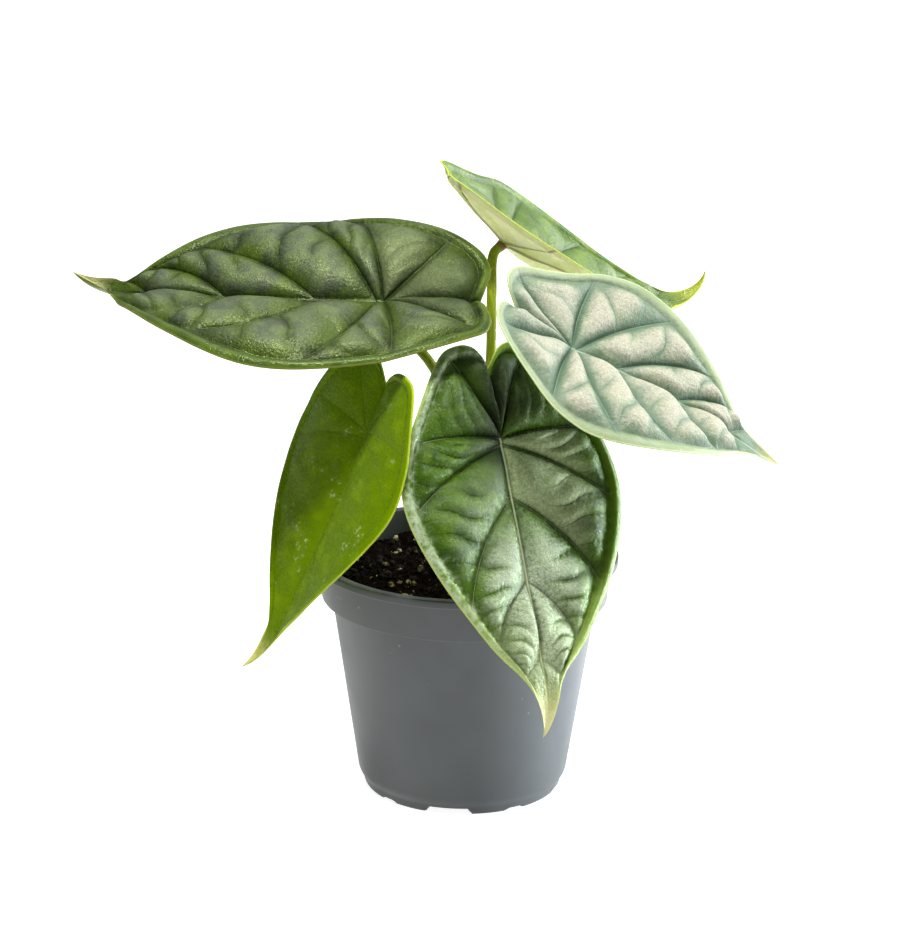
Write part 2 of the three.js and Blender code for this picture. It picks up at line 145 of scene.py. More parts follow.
# Blades: places as a share of the midrib or of the way to the margin, powers and counts
SPINE_STEPS = 240
TIP_CURL_START = 0.8
PILLOW_END = 0.7
MARGIN_VEIN = 0.88
PAD_WOBBLE = 0.35
PAD_SKEW = 1.4
PAD_FULLNESS = 0.6
PAD_START = 0.2
PAD_FADE = 0.3
TIP_PAD_LOSS = 0.7
PILLOW_SHAPE = 2.4
LAST_PILLOW = 0.84
LAST_PILLOW_FADE = 0.2
SEAM_FADE = 0.6
MARGIN_WAVES = 3.5
FAN_RISE = 0.4
SIDE_RISE = 0.2
ROW_GATHERING = 0.75
BAND_START = MARGIN_VEIN - 0.02
INNER_COLUMNS = 0.66
# Where the painted sheen fades out towards the margin
SHEEN_END = 0.8
GROOVE_START = 0.08
RIB_START = 0.05
SIDE_RIB_SHARE = 0.45

# Values of a blade's mesh points that its paint reads; the last three are masks of painted shade in the
# fold behind the joint, of painted sheen and of a painted rim highlight
BLADE_VALUES = (
    "out", "reach", "pillow", "pads", "padded", "vein_mm", "midrib_mm", "edge_mm",
    "along", "channel", "facet", "rim_shine",
)

# Noises over a blade: scale to the millimetre, detail and roughness
CLOUDS = (0.06, 3, 0.55)
SUN_SPOTS = (0.11, 2)
MOTTLE = (0.3, 4, 0.6)
PATCHES = (0.7, 5, 0.65)
GRAIN = (0.9, 5, 0.8)

# Nets of fine veins: scale of the warp, its reach in millimetres, and scale of the cells
NET = (0.4, 1.8, 0.5)
FINE_NET = (0.9, 1.1, 0.9)

# Half the outline of a blade: a share of the lobe or of the length, and a share of the half width
HALF_OUTLINE = np.array([
    (-0.75, 0), (-0.96, 0.12), (-1, 0.28), (-0.87, 0.47), (-0.4, 0.72), (0.04, 0.95),
    (0.21, 1), (0.43, 0.8), (0.66, 0.44), (0.79, 0.18), (0.88, 0.095), (1, 0),
])
SHOULDER_SHIFT = np.array([0, 0, 0, 0, 0, 0.6, 1, 1, 0.7, 0.3, 0, 0])
SHOULDER_SWELL = np.array([0, 0, 0, 0, 0, 0, 0, 0.6, 1, 0.5, 0, 0])
LOBE_WIDENING = np.array([0, 0.3, 0.8, 1, 0.7, 0, 0, 0, 0, 0, 0, 0])

# Main veins of a half blade: start on the midrib, end on the outline, and bow
VEINS = [
    (0, 0, 0), (0, 2.6, 0.04), (0, 4.7, 0.1), (0.02, 6, 0.12),
    (0.2, 7.4, 0.18), (0.48, 8.3, 0.2), (0.74, 9.1, 0.12), (1, 11, 0),
]

# What a leaf has unless it says otherwise. The last four values set painted shade in the fold behind the
# joint and how far it reaches, painted sheen between chosen veins, and a painted highlight on each
# half's rim.
PLAIN_BLADE = dict(
    pads=3, slant=1.6, margin_roll=0.9, side_shifts=[], other_shifts=[],
    channel=0.3, channel_shade_ends=(10, 10), painted_sheen_gaps=((), ()), rim_shine=(0, 0),
)

LEAVES = {
    "left": dict(
        PLAIN_BLADE,
        joint=(-32.5, -10, 198), heading=181, dip=-1, roll=-37.5,
        length=128, half_width=48.5, lobe=41, sinus=0.9, arch=30.5, sweep=-24, lobe_rise=2,
        fold=25.5, fold_bias=1, curl=42.5, curl_bias=-20, tip_curl=-72.5, twist=20, lean=-0.05,
        shoulder=0.14, fullness=-0.12, lobe_swell=0.02, relief=3.6, pad_dip=0.5, pads=3.5, slant=2,
        wave=1.5, side_shifts=[0, 0, -0.25, -0.5, -0.45, -0.8, -0.4], other_shifts=[0, 0.9, 0.2, 0, 0.2],
        socket=132, petiole=[(-8, 5, 130), (-12, -3, 168)], slot="leaf_grey_green",
        # Painted shade in the fold, and painted sheen on two wedges of one half
        channel=0.75, channel_shade_ends=(4, 4), painted_sheen_gaps=((), (0, 1)), margin_roll=1.2,
    ),
    "right": dict(
        PLAIN_BLADE,
        joint=(39, -33, 187), heading=-2, dip=23.5, roll=25.5,
        length=93.5, half_width=42, lobe=36.5, sinus=0.72, arch=20.5, sweep=5.5, lobe_rise=48,
        fold=10.5, fold_bias=-2.5, curl=3.5, curl_bias=-14.5, tip_curl=-13, twist=-4, lean=-0.02,
        shoulder=0, fullness=0.06, lobe_swell=0, relief=4.4, pad_dip=0.3, wave=0.8,
        side_shifts=[0, 0, 0.1, 0.9, 0.6, 0.45, 0.2], other_shifts=[0, 0, 0, 0.4],
        socket=-12, petiole=[(13, 0, 125), (27, 0, 155), (35, -12, 175)], slot="leaf_silver",
        channel=0.35, margin_roll=0.6,
    ),
    "front": dict(
        PLAIN_BLADE,
        joint=(12.5, -33, 151), heading=-66.5, dip=60, roll=-10,
        length=115.5, half_width=44.5, lobe=37, sinus=0.75, arch=-1, sweep=-2.5, lobe_rise=7.5,
        fold=5, fold_bias=4.5, curl=4, curl_bias=-8, tip_curl=48, twist=1.5, lean=0,
        shoulder=0.02, fullness=0.03, lobe_swell=0, relief=4.8, pad_dip=0.5, pads=5, slant=3.2, wave=1,
        side_shifts=[0, 0, 0, 0.15], other_shifts=[0, 0, 0, 0.1, 0.25],
        socket=-84, petiole=[(2, -9, 118), (5, -17, 138)], slot="leaf_quilted_green",
        # Deep painted shade in the fold, painted sheen on two wedges of one half, and a painted
        # highlight on the other half's rim
        channel=0.97, channel_shade_ends=(3, 24), painted_sheen_gaps=((2, 3), ()), rim_shine=(0, 0.7), margin_roll=1.6,
    ),
    "lower_left": dict(
        PLAIN_BLADE,
        joint=(-38, -32, 153), heading=-169.5, dip=67.5, roll=-21,
        length=106, half_width=39.5, lobe=27.5, sinus=0.72, arch=0, sweep=-5.5, lobe_rise=0.5,
        fold=18, fold_bias=-3, curl=31, curl_bias=-1.5, tip_curl=-52, twist=7.5, lean=-0.05,
        shoulder=0, fullness=-0.03, lobe_swell=0.12, relief=0.3, pad_dip=0.1, wave=0.6,
        socket=-156, petiole=[(-12, -6, 122), (-22, -16, 146)], slot="leaf_yellow_green",
    ),
    "top": dict(
        PLAIN_BLADE,
        joint=(14, 26, 213), heading=36.5, dip=41.5, roll=17,
        length=114.5, half_width=39.5, lobe=45, sinus=0.92, arch=-43, sweep=10.5, lobe_rise=13,
        fold=17, fold_bias=4, curl=-12, curl_bias=7, tip_curl=-92, twist=-3, lean=0.02,
        shoulder=0, fullness=0.02, lobe_swell=-0.17, relief=3, pad_dip=0.45, wave=0.8,
        socket=60, petiole=[(6, 7, 130), (9, 12, 170), (9, 15, 195)], slot="leaf_light_green",
    ),
}

# Camera, worked out from the rim and the foot of the pot
CAMERA_TARGET = Vector((-6.3, 0, 130.7)) * MM + POT_AXIS
CAMERA_DISTANCE = 1.5
CAMERA_DIP = math.radians(17.6)
CAMERA_ROLL = math.radians(0.7)
CAMERA_LENS = 150.3
CAMERA_SENSOR = 36

# Direction, from above, behind and the right, that the surroundings are brightest in
BRIGHT_SIDE = (0.64, 0.46, 0.62)
BRIGHT_SIDE_FADE = (-0.3, 0.9)

# Floor, in metres: where its glow fades in to the back and to the right
FLOOR_HALF_SIZE = 6
GLOW_BACKWARDS = (-0.7, -0.2)
GLOW_RIGHTWARDS = (-0.38, -0.2)
GLOW_SLANT = 0.12

# Lamps, in metres: place, target, width and height, tint, and spread in degrees
PLANT_MIDDLE = (0, 0, 0.13)
LAMPS = {
    "side": ((1.1, 0.45, 0.3), PLANT_MIDDLE, (0.4, 0.9), (0.86, 0.93, 1), 180),
    "key": ((0, -0.4, 1.25), PLANT_MIDDLE, (0.24, 0.18), (1, 1, 0.96), 180),
    "spark": ((-0.55, -1.3, 0.85), PLANT_MIDDLE, (0.09, 0.09), (1, 1, 1), 180),
    "top": ((0.1, 0.25, 1.2), PLANT_MIDDLE, (0.9, 0.7), (1, 1, 1), 180),
    "low": ((0.7, 0.08, 0.045), (0, 0, 0.045), (0.2, 0.06), (0.82, 0.92, 1), 24),
}


def hex_colour(code):
    """Linear RGB of a screen colour written as rrggbb."""
    channels = [int(code[i:i + 2], 16) / 255 for i in (0, 2, 4)]
    return tuple(c / 12.92 if c <= 0.04045 else ((c + 0.055) / 1.055) ** 2.4 for c in channels)


def colour(name, description, code):
    """A colour that a user can change."""
    return FloatVectorProperty(
        name=name, description=description, default=hex_colour(code),
        subtype="COLOR", size=3, min=0, max=1,
    )


def length(name, description, millimetres):
    """A length that a user can change."""
    return FloatProperty(
        name=name, description=description, default=millimetres * MM,
        unit="LENGTH", min=0, precision=5,
    )


def share(name, description, value):
    """A factor from 0 to 1 that a user can change."""
    return FloatProperty(
        name=name, description=description, default=value, subtype="FACTOR", min=0, max=1,
    )


def brightness(name, description, value):
    """A strength of light that a user can change."""
    return FloatProperty(name=name, description=description, default=value, min=0)


def power(name, description, watts):
    """The power of a lamp that a user can change."""
    return FloatProperty(name=name, description=description, default=watts, unit="POWER")


def number(name, description, value, least=0):
    """A whole number that a user can change."""
    return IntProperty(name=name, description=description, default=value, min=least)


class BladeSizes(PropertyGroup):
    """Fineness and fine relief of all blades"""

    rows: number("Rows", "Mesh rows from a vein to the next", 24, 4)
    columns: number("Columns", "Mesh columns from the midrib to the margin", 60, 12)
    groove: length("Groove", "Depth of the fine line along each main vein", 0.28)
    edge: length("Edge", "Thickness of the blade at its very margin", 0.35)
    ripple: length("Ripple", "Height of the uneven relief over the whole blade", 0.35)


class StemColours(PropertyGroup):
    """Petioles and crown"""

    green: colour("Green", "Upper length of the petioles", "7c8a08")
    pale: colour("Pale", "Paler streaks along the petioles", "98a030")
    neck: colour("Neck", "Purple-brown ring under the blade", "7b5f2a")
    sheath: colour("Sheath", "Crown and the sheathing feet of the petioles", "b0ae6a")


class SoilSizes(PropertyGroup):
    """Potting soil"""

    rings: number("Rings", "Mesh rings of the soil's top", 110, 20)
    lump: length("Lump", "Height of the lumps of the soil", 2.0)
    bark: number("Bark", "Number of bark chips", 420)
    perlite: number("Perlite", "Number of pale grains", 170)
    crumbs: number("Crumbs", "Number of peat crumbs", 900)
    fibres: number("Fibres", "Number of fine root fibres", 160)
    dark: colour("Dark", "Moist peat", "0c0704")
    brown: colour("Brown", "Drier peat and bark", "2a190f")
    cream: colour("Cream", "Pale grains", "d9c8a4")


class PotSizes(PropertyGroup):
    """Nursery pot"""

    steps: number("Steps", "Mesh steps round the pot", 240, 48)
    grey: colour("Grey", "Moulded plastic", "424548")
    shade: colour("Shade", "Darker clouds in the plastic", "3d4041")
    scuff: colour("Scuff", "Pale scuffs and specks", "666b6d")
    roughness: share("Roughness", "Roughness of the plastic", 0.42)


class StudioSettings(PropertyGroup):
    """Floor and lights"""

    floor: colour("Floor", "Plain pale floor", "bcbcba")
    glow: brightness("Glow", "Light of the floor's own", 0.9)
    front_glow: brightness("Front glow", "Light of the floor's own in front of the plant", 0.08)
    back: brightness("Back", "Light from behind the plant and its right", 0.75)
    front: brightness("Front", "Light from the camera's side and the left", 0.06)
    side: power("Side", "Power of the right softbox", 22)
    key: power("Key", "Power of the softbox over the camera", 21)
    spark: power("Spark", "Power of the small lamp that glints on the leaves", 1.2)
    top: power("Top", "Power of the overhead softbox", 5)
    low: power("Low", "Power of the low lamp at the right", 0.35)


# What each value of a blade's surface means
BLADE_NOTES = {
    colour: {
        "pillow": "Tissue of the pillows between the veins",
        "patch": "Second tone of the tissue, in soft patches",
        "warm": "Yellower tone of the tops of some pillows",
        # Painted shade in the creases, and the colour of the dark nets and specks
        "furrow": "Creases along the veins and between the pads",
        # Silvery coat, also the colour of painted sheen, glints and the rim highlight
        "silver": "Silvery bloom on the tops of the pillows",
        # Painted shade in the fold behind the joint
        "channel": "Folded channel behind the joint",
        "vein": "Fine line in the middle of each crease",
        "rim": "Smooth band along the margin",
        "edge": "Thin line at the very margin",
        "tip": "Drip tip",
        "underside": "Underside of the blade",
        "underside_patch": "Second tone of the underside",
        "underside_vein": "Veins on the underside",
        "glint": "Tint of the highlights",
    },
    share: {
        # Silvery coat together with painted sheen
        "bloom": "How much silver shows",
        "spread": "How far the silver reaches to the margin",
        "tipwards": "How much of the silver is kept to the half with the tip",
        "rim_from": "Where the smooth band starts, from midrib to margin",
        "tip_from": "Where the paler tip starts, from joint to tip",
        "shade": "How dark the creases are",
        "net": "How much the fine net of veins shows",
        "specks": "How much the fine dark specks show",
        # Painted glints
        "flecks": "How much small pale flecks show",
        "roughness": "Roughness of the surface",
        "gloss": "Strength of the highlights",
    },
    length: {
        # Width of the painted shade beside each main vein
        "slope": "Width of the dark slope along each main vein",
        "crinkle": "Height of the fine crinkles",
    },
}

# Colours, shares and lengths in millimetres of each blade's surface. The furrow colours are painted
# shade in the creases as well as the dark nets and specks, the fold colours are painted shade, and the
# silvery colours also serve as painted sheen, glints and rim highlight
BLADE_LOOKS = {
    "left": dict(  # dark grey-green
        pillow="3d4e16", patch="1e2a0d", warm="4c5e1b", furrow="0d1508", silver="6b7363",
        channel="1d2812", vein="3c482a", rim="2d4016", edge="5d6829", tip="bfbc84",
        underside="8c9972", underside_patch="7f8e5f", underside_vein="5d5a3e", bloom=0.4,
        spread=0.9, tipwards=0, rim_from=0.92, tip_from=0.9, slope=1.4, crinkle=0.3, shade=0.55,
        net=0.16, specks=0.25, flecks=0.15, roughness=0.3, gloss=0.32, glint="ecffb8",
    ),
    "right": dict(  # silver
        pillow="5e7056", patch="6a7862", warm="7c8a64", furrow="3e5c48", silver="ada795",
        channel="667c69", vein="95a58e", rim="8a9578", edge="a3b07c", tip="bab581",
        underside="98a480", underside_patch="88986b", underside_vein="706f4c", bloom=0.9, spread=1,
        tipwards=0, rim_from=0.9, tip_from=0.9, slope=3.2, crinkle=0.5, shade=0.6, net=0.14,
        specks=0.5, flecks=0, roughness=0.46, gloss=0.4, glint="ffffff",
    ),
    "front": dict(  # strongly quilted green
        pillow="3c580c", patch="27400a", warm="4a660c", furrow="071402", silver="a8b39c",
        channel="050d01", vein="96a07a", rim="4a6618", edge="97a55c", tip="bab785",
        underside="829365", underside_patch="738551", underside_vein="585c3f", bloom=0.75,
        spread=0.35, tipwards=0.88, rim_from=0.88, tip_from=0.82, slope=1.3, crinkle=0.5,
        shade=0.65, net=0.14, specks=0.2, flecks=0.15, roughness=0.24, gloss=0.24, glint="dcecc4",
    ),
    "lower_left": dict(  # smooth, young and yellow-green
        pillow="597300", patch="567000", warm="668000", furrow="314800", silver="b9c59a",
        channel="496408", vein="5f7806", rim="536d01", edge="94a434", tip="b6af6d",
        underside="90a43c", underside_patch="81972c", underside_vein="6f7d29", bloom=0, spread=1,
        tipwards=0, rim_from=0.94, tip_from=0.85, slope=1.5, crinkle=0.3, shade=0.05, net=0.02,
        specks=0.05, flecks=0.6, roughness=0.26, gloss=0.18, glint="c8ff10",
    ),
    "top": dict(  # light green
        pillow="455e22", patch="587034", warm="6a842c", furrow="1c3a12", silver="7d8a6c",
        channel="395e2b", vein="6b824e", rim="325620", edge="a6b23e", tip="9da52f",
        underside="f8fbc4", underside_patch="e8ee9c", underside_vein="5a4537", bloom=0.25,
        spread=1, tipwards=0, rim_from=0.9, tip_from=0.82, slope=2.6, crinkle=0.35, shade=0.7,
        net=0.12, specks=0.15, flecks=0.2, roughness=0.26, gloss=0.42, glint="f8ffd0",
    ),
}


def blade_group(name, values):
    """A PropertyGroup with the colours and the surface of one blade."""
    fields = {
        key: kind(key.replace("_", " ").capitalize(), note, values[key])
        for kind, notes in BLADE_NOTES.items() for key, note in notes.items()
    }
    title = name.replace("_", " ")
    about = {"__doc__": f"Surface of the {title} blade", "__annotations__": fields}
    return type(f"{title.title().replace(' ', '')}BladeLook", (PropertyGroup,), about)


BLADE_GROUPS = {name: blade_group(name, values) for name, values in BLADE_LOOKS.items()}


# Node helpers

WARP_DETAIL = 2.0


class Shader:
    """The node tree of one material, with short calls for its usual nodes."""

    def __init__(self, name):
        self.material = bpy.data.materials.new(name)
        self.material.use_nodes = True
        self.tree = self.material.node_tree
        self.surface = self.tree.nodes["Principled BSDF"]

    def feed(self, socket, value):
        """Links an output to the socket, or sets a plain value on it."""
        if isinstance(value, bpy.types.NodeSocket):
            self.tree.links.new(value, socket)
        elif hasattr(value, "__len__") and len(value) == 3 and socket.type == "RGBA":
            socket.default_value = (*value, 1)
        else:
            socket.default_value = value

    def node(self, kind, inputs, output=0, **values):
        """A new node with its inputs fed, by name or by number. Gives one of its outputs."""
        made = self.tree.nodes.new(kind)
        for key, value in values.items():
            setattr(made, key, value)
        for key, value in inputs.items():
            self.feed(made.inputs[key], value)
        return made.outputs[output]

    def attribute(self, name, output="Fac"):
        return self.node("ShaderNodeAttribute", {}, output, attribute_name=name)

    def place(self):
        return self.node("ShaderNodeTexCoord", {}, "Object")

    def maths(self, operation, a, b=0.0):
        return self.node("ShaderNodeMath", {0: a, 1: b}, operation=operation)

    def times(self, *values):
        return functools.reduce(lambda a, b: self.maths("MULTIPLY", a, b), values)

    def plus(self, *values):
        return functools.reduce(lambda a, b: self.maths("ADD", a, b), values)

    def vectors(self, operation, a, b):
        second = "Scale" if operation == "SCALE" else 1
        return self.node("ShaderNodeVectorMath", {0: a, second: b}, operation=operation)

    def span(self, value, low, high, to_low=0.0, to_high=1.0):
        """value from low to high, smoothly turned into to_low to to_high."""
        inputs = dict(enumerate((value, low, high, to_low, to_high)))
        return self.node("ShaderNodeMapRange", inputs, interpolation_type="SMOOTHSTEP")

    def mix(self, factor, a, b):
        return self.node("ShaderNodeMix", {"Factor": factor, 6: a, 7: b}, 2, data_type="RGBA")

    def paint(self, base, *coats):
        """The base colour under coats, each given as its share and its colour."""
        for factor, tone in coats:
            base = self.mix(factor, base, tone)
        return base

    def noise(self, vector, scale, detail=3.0, roughness=0.5, output="Fac"):
        inputs = {"Vector": vector, "Scale": scale, "Detail": detail, "Roughness": roughness}
        return self.node("ShaderNodeTexNoise", inputs, output)

    def cells(self, vector, scale, feature="DISTANCE_TO_EDGE"):
        inputs = {"Vector": vector, "Scale": scale}
        return self.node("ShaderNodeTexVoronoi", inputs, "Distance", feature=feature)

    def warped(self, vector, scale, amount):
        """The vector moved about by noise."""
        wobble = self.noise(vector, scale, WARP_DETAIL, output="Color")
        centred = self.vectors("SUBTRACT", wobble, (0.5, 0.5, 0.5))
        return self.vectors("ADD", vector, self.vectors("SCALE", centred, amount))

    def bump(self, height, distance, weight=1.0, under=None):
        inputs = {"Distance": distance, "Strength": weight, "Height": height}
        if under is not None:
            inputs["Normal"] = under
        return self.node("ShaderNodeBump", inputs)

    def finish(self, base, roughness, normal, **constants):
        """The finished material, with the other values set by the names of their sockets."""
        inputs = {"Base Color": base, "Roughness": roughness, "Normal": normal}
        for name, value in constants.items():
            inputs[name.replace("_", " ").title().replace("Ior", "IOR")] = value
        for name, value in inputs.items():
            self.feed(self.surface.inputs[name], value)
        return self.material


# Mesh helpers


def add_object(name, data):
    """A new object in the scene."""
    made = bpy.data.objects.new(name, data)
    bpy.context.scene.collection.objects.link(made)
    return made


def new_piece(name, vertices, faces, material, slot, *nodes):
    """A smooth mesh piece from millimetres round the pot's axis, riding on the plant's body."""
    mesh = bpy.data.meshes.new(name)
    places = np.asarray(vertices) * MM + np.array(POT_AXIS)
    mesh.from_pydata(places.tolist(), [], faces)
    mesh.validate()
    mesh.polygons.foreach_set("use_smooth", [True] * len(mesh.polygons))
    mesh.materials.append(material)
    piece = add_object(name, mesh)
    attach(piece, BODY)
    if nodes:
        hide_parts(*nodes)
    return piece


def set_attribute(piece, name, values, kind="FLOAT", field="value"):
    """Stores a value of every mesh point for the paint to read."""
    attribute = piece.data.attributes.new(name, kind, "POINT")
    attribute.data.foreach_set(field, np.asarray(values, np.float32).ravel())


def smooth(x):
    """0 below 0, 1 above 1, and a soft step between."""
    x = np.clip(x, 0, 1)
    return x * x * (3 - 2 * x)


def bell(distance, width):
    """1 at no distance, falling softly to nothing past about twice the width."""
    return np.exp(-((distance / width) ** 2))


def unit(vectors):
    """The vectors at a length of 1."""
    return vectors / np.maximum(np.linalg.norm(vectors, axis=-1, keepdims=True), 1e-12)


def ring_place(radius, angle):
    """x and y at a radius and an angle."""
    return radius * math.cos(angle), radius * math.sin(angle)


def turned(profile, steps, shape=None):
    """Rings of vertices for a profile of radius and height, which shape may change by angle."""
    vertices = []
    for radius, height in profile:
        for i in range(steps):
            angle = 2 * math.pi * i / steps
            reach, z = shape(radius, height, angle) if shape else (radius, height)
            vertices.append((*ring_place(reach, angle), z))
    return vertices


def ring_faces(rings, steps):
    """Quads between rings of a turned body, with ring r's vertices at r * steps."""
    faces = []
    for r in range(rings - 1):
        for i in range(steps):
            j = (i + 1) % steps
            faces.append((r * steps + i, r * steps + j, (r + 1) * steps + j, (r + 1) * steps + i))
    return faces


def capped_faces(rings, steps):
    """The same with a flat face over the first and the last ring."""
    last = (rings - 1) * steps
    caps = [tuple(reversed(range(steps))), tuple(range(last, last + steps))]
    return ring_faces(rings, steps) + caps


# Blades


def turn_towards(a, b, angle):
    """a turned towards b, where both are unit vectors at a right angle."""
    angle = np.asarray(angle)[..., None]
    return a * np.cos(angle) + b * np.sin(angle)


def joint_frame(leaf):
    """Forward, sideways and upward directions of a blade at its joint."""
    heading, dip, roll = (math.radians(leaf[key]) for key in ("heading", "dip", "roll"))
    level = np.array([math.cos(heading), math.sin(heading), 0.0])
    along = turn_towards(level, np.array([0.0, 0.0, -1.0]), dip)
    across = np.array([-math.sin(heading), math.cos(heading), 0.0])
    up = np.cross(along, across)
    return along, turn_towards(across, up, roll), turn_towards(up, across, -roll)


def spine_arm(leaf, way, arm_length, arch, tip_curl, sweep, twist):
    """Stations along one arm of the midrib: s, place, side and up."""
    along, side, up = joint_frame(leaf)
    ahead = along * way
    steps = np.linspace(0, 1, SPINE_STEPS + 1)
    curled = np.maximum(0, (steps - TIP_CURL_START) / (1 - TIP_CURL_START)) ** 1.5
    bend = -np.radians(arch * steps + tip_curl * curled)
    level = turn_towards(ahead, up, bend)
    risen = turn_towards(up, ahead, -bend)
    turned = turn_towards(level, side, np.radians(sweep * steps))
    sideways = turn_towards(side, level, -np.radians(sweep * steps))
    middles = (turned[1:] + turned[:-1]) / 2 * arm_length / SPINE_STEPS
    places = np.array(leaf["joint"], float) + np.vstack([np.zeros(3), np.cumsum(middles, axis=0)])
    spin = np.radians(twist * steps)
    return (
        way * steps * arm_length, places,
        turn_towards(sideways, risen, spin), turn_towards(risen, sideways, -spin),
    )


def blade_spine(leaf):
    """Stations of the whole midrib, from the end of the lobes to the tip."""
    front = spine_arm(
        leaf, 1, leaf["length"], leaf["arch"], leaf["tip_curl"], leaf["sweep"], leaf["twist"])
    back = spine_arm(leaf, -1, leaf["lobe"] * 1.3, -leaf["lobe_rise"], 0, 0, 0)
    return [np.concatenate([b[::-1], f[1:]]) for b, f in zip(back, front)]


def on_blade(leaf, spine, s, w):
    """Points at s along the midrib and w to its side, measured over the surface."""
    stations, places, sides, ups = spine

    def at(values):
        return np.stack([np.interp(s, stations, values[:, i]) for i in range(3)], axis=-1)

    way = np.sign(w)
    fold = np.radians(leaf["fold"] + way * leaf["fold_bias"])
    curl = np.radians(leaf["curl"] + way * leaf["curl_bias"])
    curl = np.where(np.abs(curl) < 1e-3, 1e-3, curl)
    out = np.abs(w) / leaf["half_width"]
    outwards = leaf["half_width"] * (np.sin(fold) - np.sin(fold - curl * out)) / curl
    upwards = leaf["half_width"] * (np.cos(fold - curl * out) - np.cos(fold)) / curl
    return at(places) + at(sides) * (way * outwards)[..., None] + at(ups) * upwards[..., None]


def outline_at(leaf, position):
    """Flat points of the half outline, counted in outline points, on a smooth curve through them."""
    points = HALF_OUTLINE.copy()
    points[0, 0] = -leaf["sinus"]
    points[:, 0] += leaf["shoulder"] * SHOULDER_SHIFT
    points[:, 1] += leaf["fullness"] * SHOULDER_SWELL + leaf["lobe_swell"] * LOBE_WIDENING
    points[:, 0] *= np.where(points[:, 0] < 0, leaf["lobe"], leaf["length"])
    points[:, 1] *= leaf["half_width"]
    last = len(points) - 1
    i = np.minimum(position.astype(int), last - 1)
    t = (position - i)[..., None]
    before, a, b, after = (points[np.clip(i + k, 0, last)] for k in (-1, 0, 1, 2))
    rise_a = (b - before) / 2
    rise_b = (after - a) / 2
    curve = (
        (2 * a - 2 * b + rise_a + rise_b) * t ** 3
        + (3 * b - 3 * a - 2 * rise_a - rise_b) * t ** 2 + rise_a * t + a
    )
    curve[..., 1] = np.maximum(curve[..., 1], 0)
    return curve


def flat_points(leaf, start, end, bow, out):
    """Flat points of the half blade on the lines from the midrib to the margin."""
    edge = outline_at(leaf, end)
    root = np.stack([start * leaf["length"], np.zeros_like(start)], axis=-1)
    chord = edge - root
    middle = root + chord / 2 + np.stack([-chord[..., 1], chord[..., 0]], axis=-1) * bow[..., None]
    out = out[..., None]
    return (1 - out) ** 2 * root + 2 * (1 - out) * out * middle + out ** 2 * edge


def half_veins(leaf, way):
    """Start, end and bow of the main veins on one half, with the ends moved as the leaf asks."""
    veins = np.array(VEINS, float)
    shifts = leaf["side_shifts" if way > 0 else "other_shifts"]
    veins[:len(shifts), 1] += shifts
    return veins


def half_grid(leaf, way, sizes):
    """Everything about the mesh points of half a blade, as arrays of rows by columns."""
    veins = half_veins(leaf, way)
    gaps = []
    betweens = []
    for gap in range(len(veins) - 1):
        t = np.arange(sizes.rows) / sizes.rows
        gaps.append(np.full(sizes.rows, gap))
        betweens.append(t - ROW_GATHERING * np.sin(2 * np.pi * t) / (2 * np.pi))
    gaps.append([len(veins) - 2])
    betweens.append([1.0])
    gap = np.concatenate(gaps).astype(int)
    between = np.concatenate(betweens)
    inner = np.linspace(0, BAND_START, round(sizes.columns * INNER_COLUMNS))
    outer = np.linspace(BAND_START, 1, sizes.columns + 2 - len(inner))[1:]
    out = np.concatenate([inner, outer])
    gap, out_grid = np.meshgrid(gap, out, indexing="ij")
    between = np.repeat(between[:, None], len(out), axis=1)
    start, end, bow = (
        veins[gap, i] * (1 - between) + veins[gap + 1, i] * between for i in range(3))
    flat = flat_points(leaf, start, end, bow, out_grid)
    this_vein = flat_points(leaf, *(veins[gap, i] for i in range(3)), out_grid)
    next_vein = flat_points(leaf, *(veins[gap + 1, i] for i in range(3)), out_grid)
    full_line = flat_points(leaf, start, end, bow, np.ones_like(out_grid))
    return dict(
        gap=gap, between=between, out=out_grid, start=start, end=end, flat=flat,
        spacing=np.linalg.norm(next_vein - this_vein, axis=-1),
        line=np.linalg.norm(full_line - np.stack([start * leaf["length"], 0 * start], -1), axis=-1),
    )


def quilt_height(leaf, grid):
    """Pillows between sunken veins, lesser furrows, a rolled margin and its waves."""
    fan = np.array([vein[0] < 0.1 for vein in VEINS[1:]])[grid["gap"]]
    out = grid["out"]
    rise = 1 - (1 - np.clip(out / np.where(fan, FAN_RISE, SIDE_RISE), 0, 1)) ** 2
    fall = 1 - np.clip((out - PILLOW_END) / (MARGIN_VEIN - PILLOW_END), 0, 1) ** 2
    pillow = 1 - np.abs(2 * grid["between"] - 1) ** PILLOW_SHAPE
    pads = leaf["pads"] * out - leaf["slant"] * (1 - grid["between"])
    pads = pads + PAD_WOBBLE * ripple(grid["flat"].reshape(-1, 2), PAD_WOBBLE_SIZE).reshape(out.shape)
    lobes = np.minimum(1, 0.25 + 0.375 * np.minimum(grid["gap"], 2))
    tipwards = smooth((grid["start"] - 0.5) / PAD_FADE)
    shown = smooth((out - PAD_START) / PAD_FADE) * lobes * (1 - TIP_PAD_LOSS * tipwards)
    phase = (pads % 1) ** PAD_SKEW
    furrow = (1 - (4 * phase * (1 - phase)) ** PAD_FULLNESS) * shown
    taper = smooth((LAST_PILLOW - grid["start"]) / LAST_PILLOW_FADE)
    band = np.maximum(0, (out - MARGIN_VEIN) / (1 - MARGIN_VEIN))
    seam = smooth(grid["end"] / SEAM_FADE)
    turn = grid["end"] / (len(HALF_OUTLINE) - 1)
    wave = leaf["wave"] * out ** 3 * np.sin(2 * np.pi * MARGIN_WAVES * turn)
    relief = taper * rise * fall * pillow * (1 - leaf["pad_dip"] * furrow)
    grid["pillow"] = relief
    grid["pads"] = pads
    grid["padded"] = shown * rise * fall * taper * pillow ** 0.5
    return leaf["relief"] * relief + seam * leaf["margin_roll"] * taper * np.sin(np.pi * band) + wave


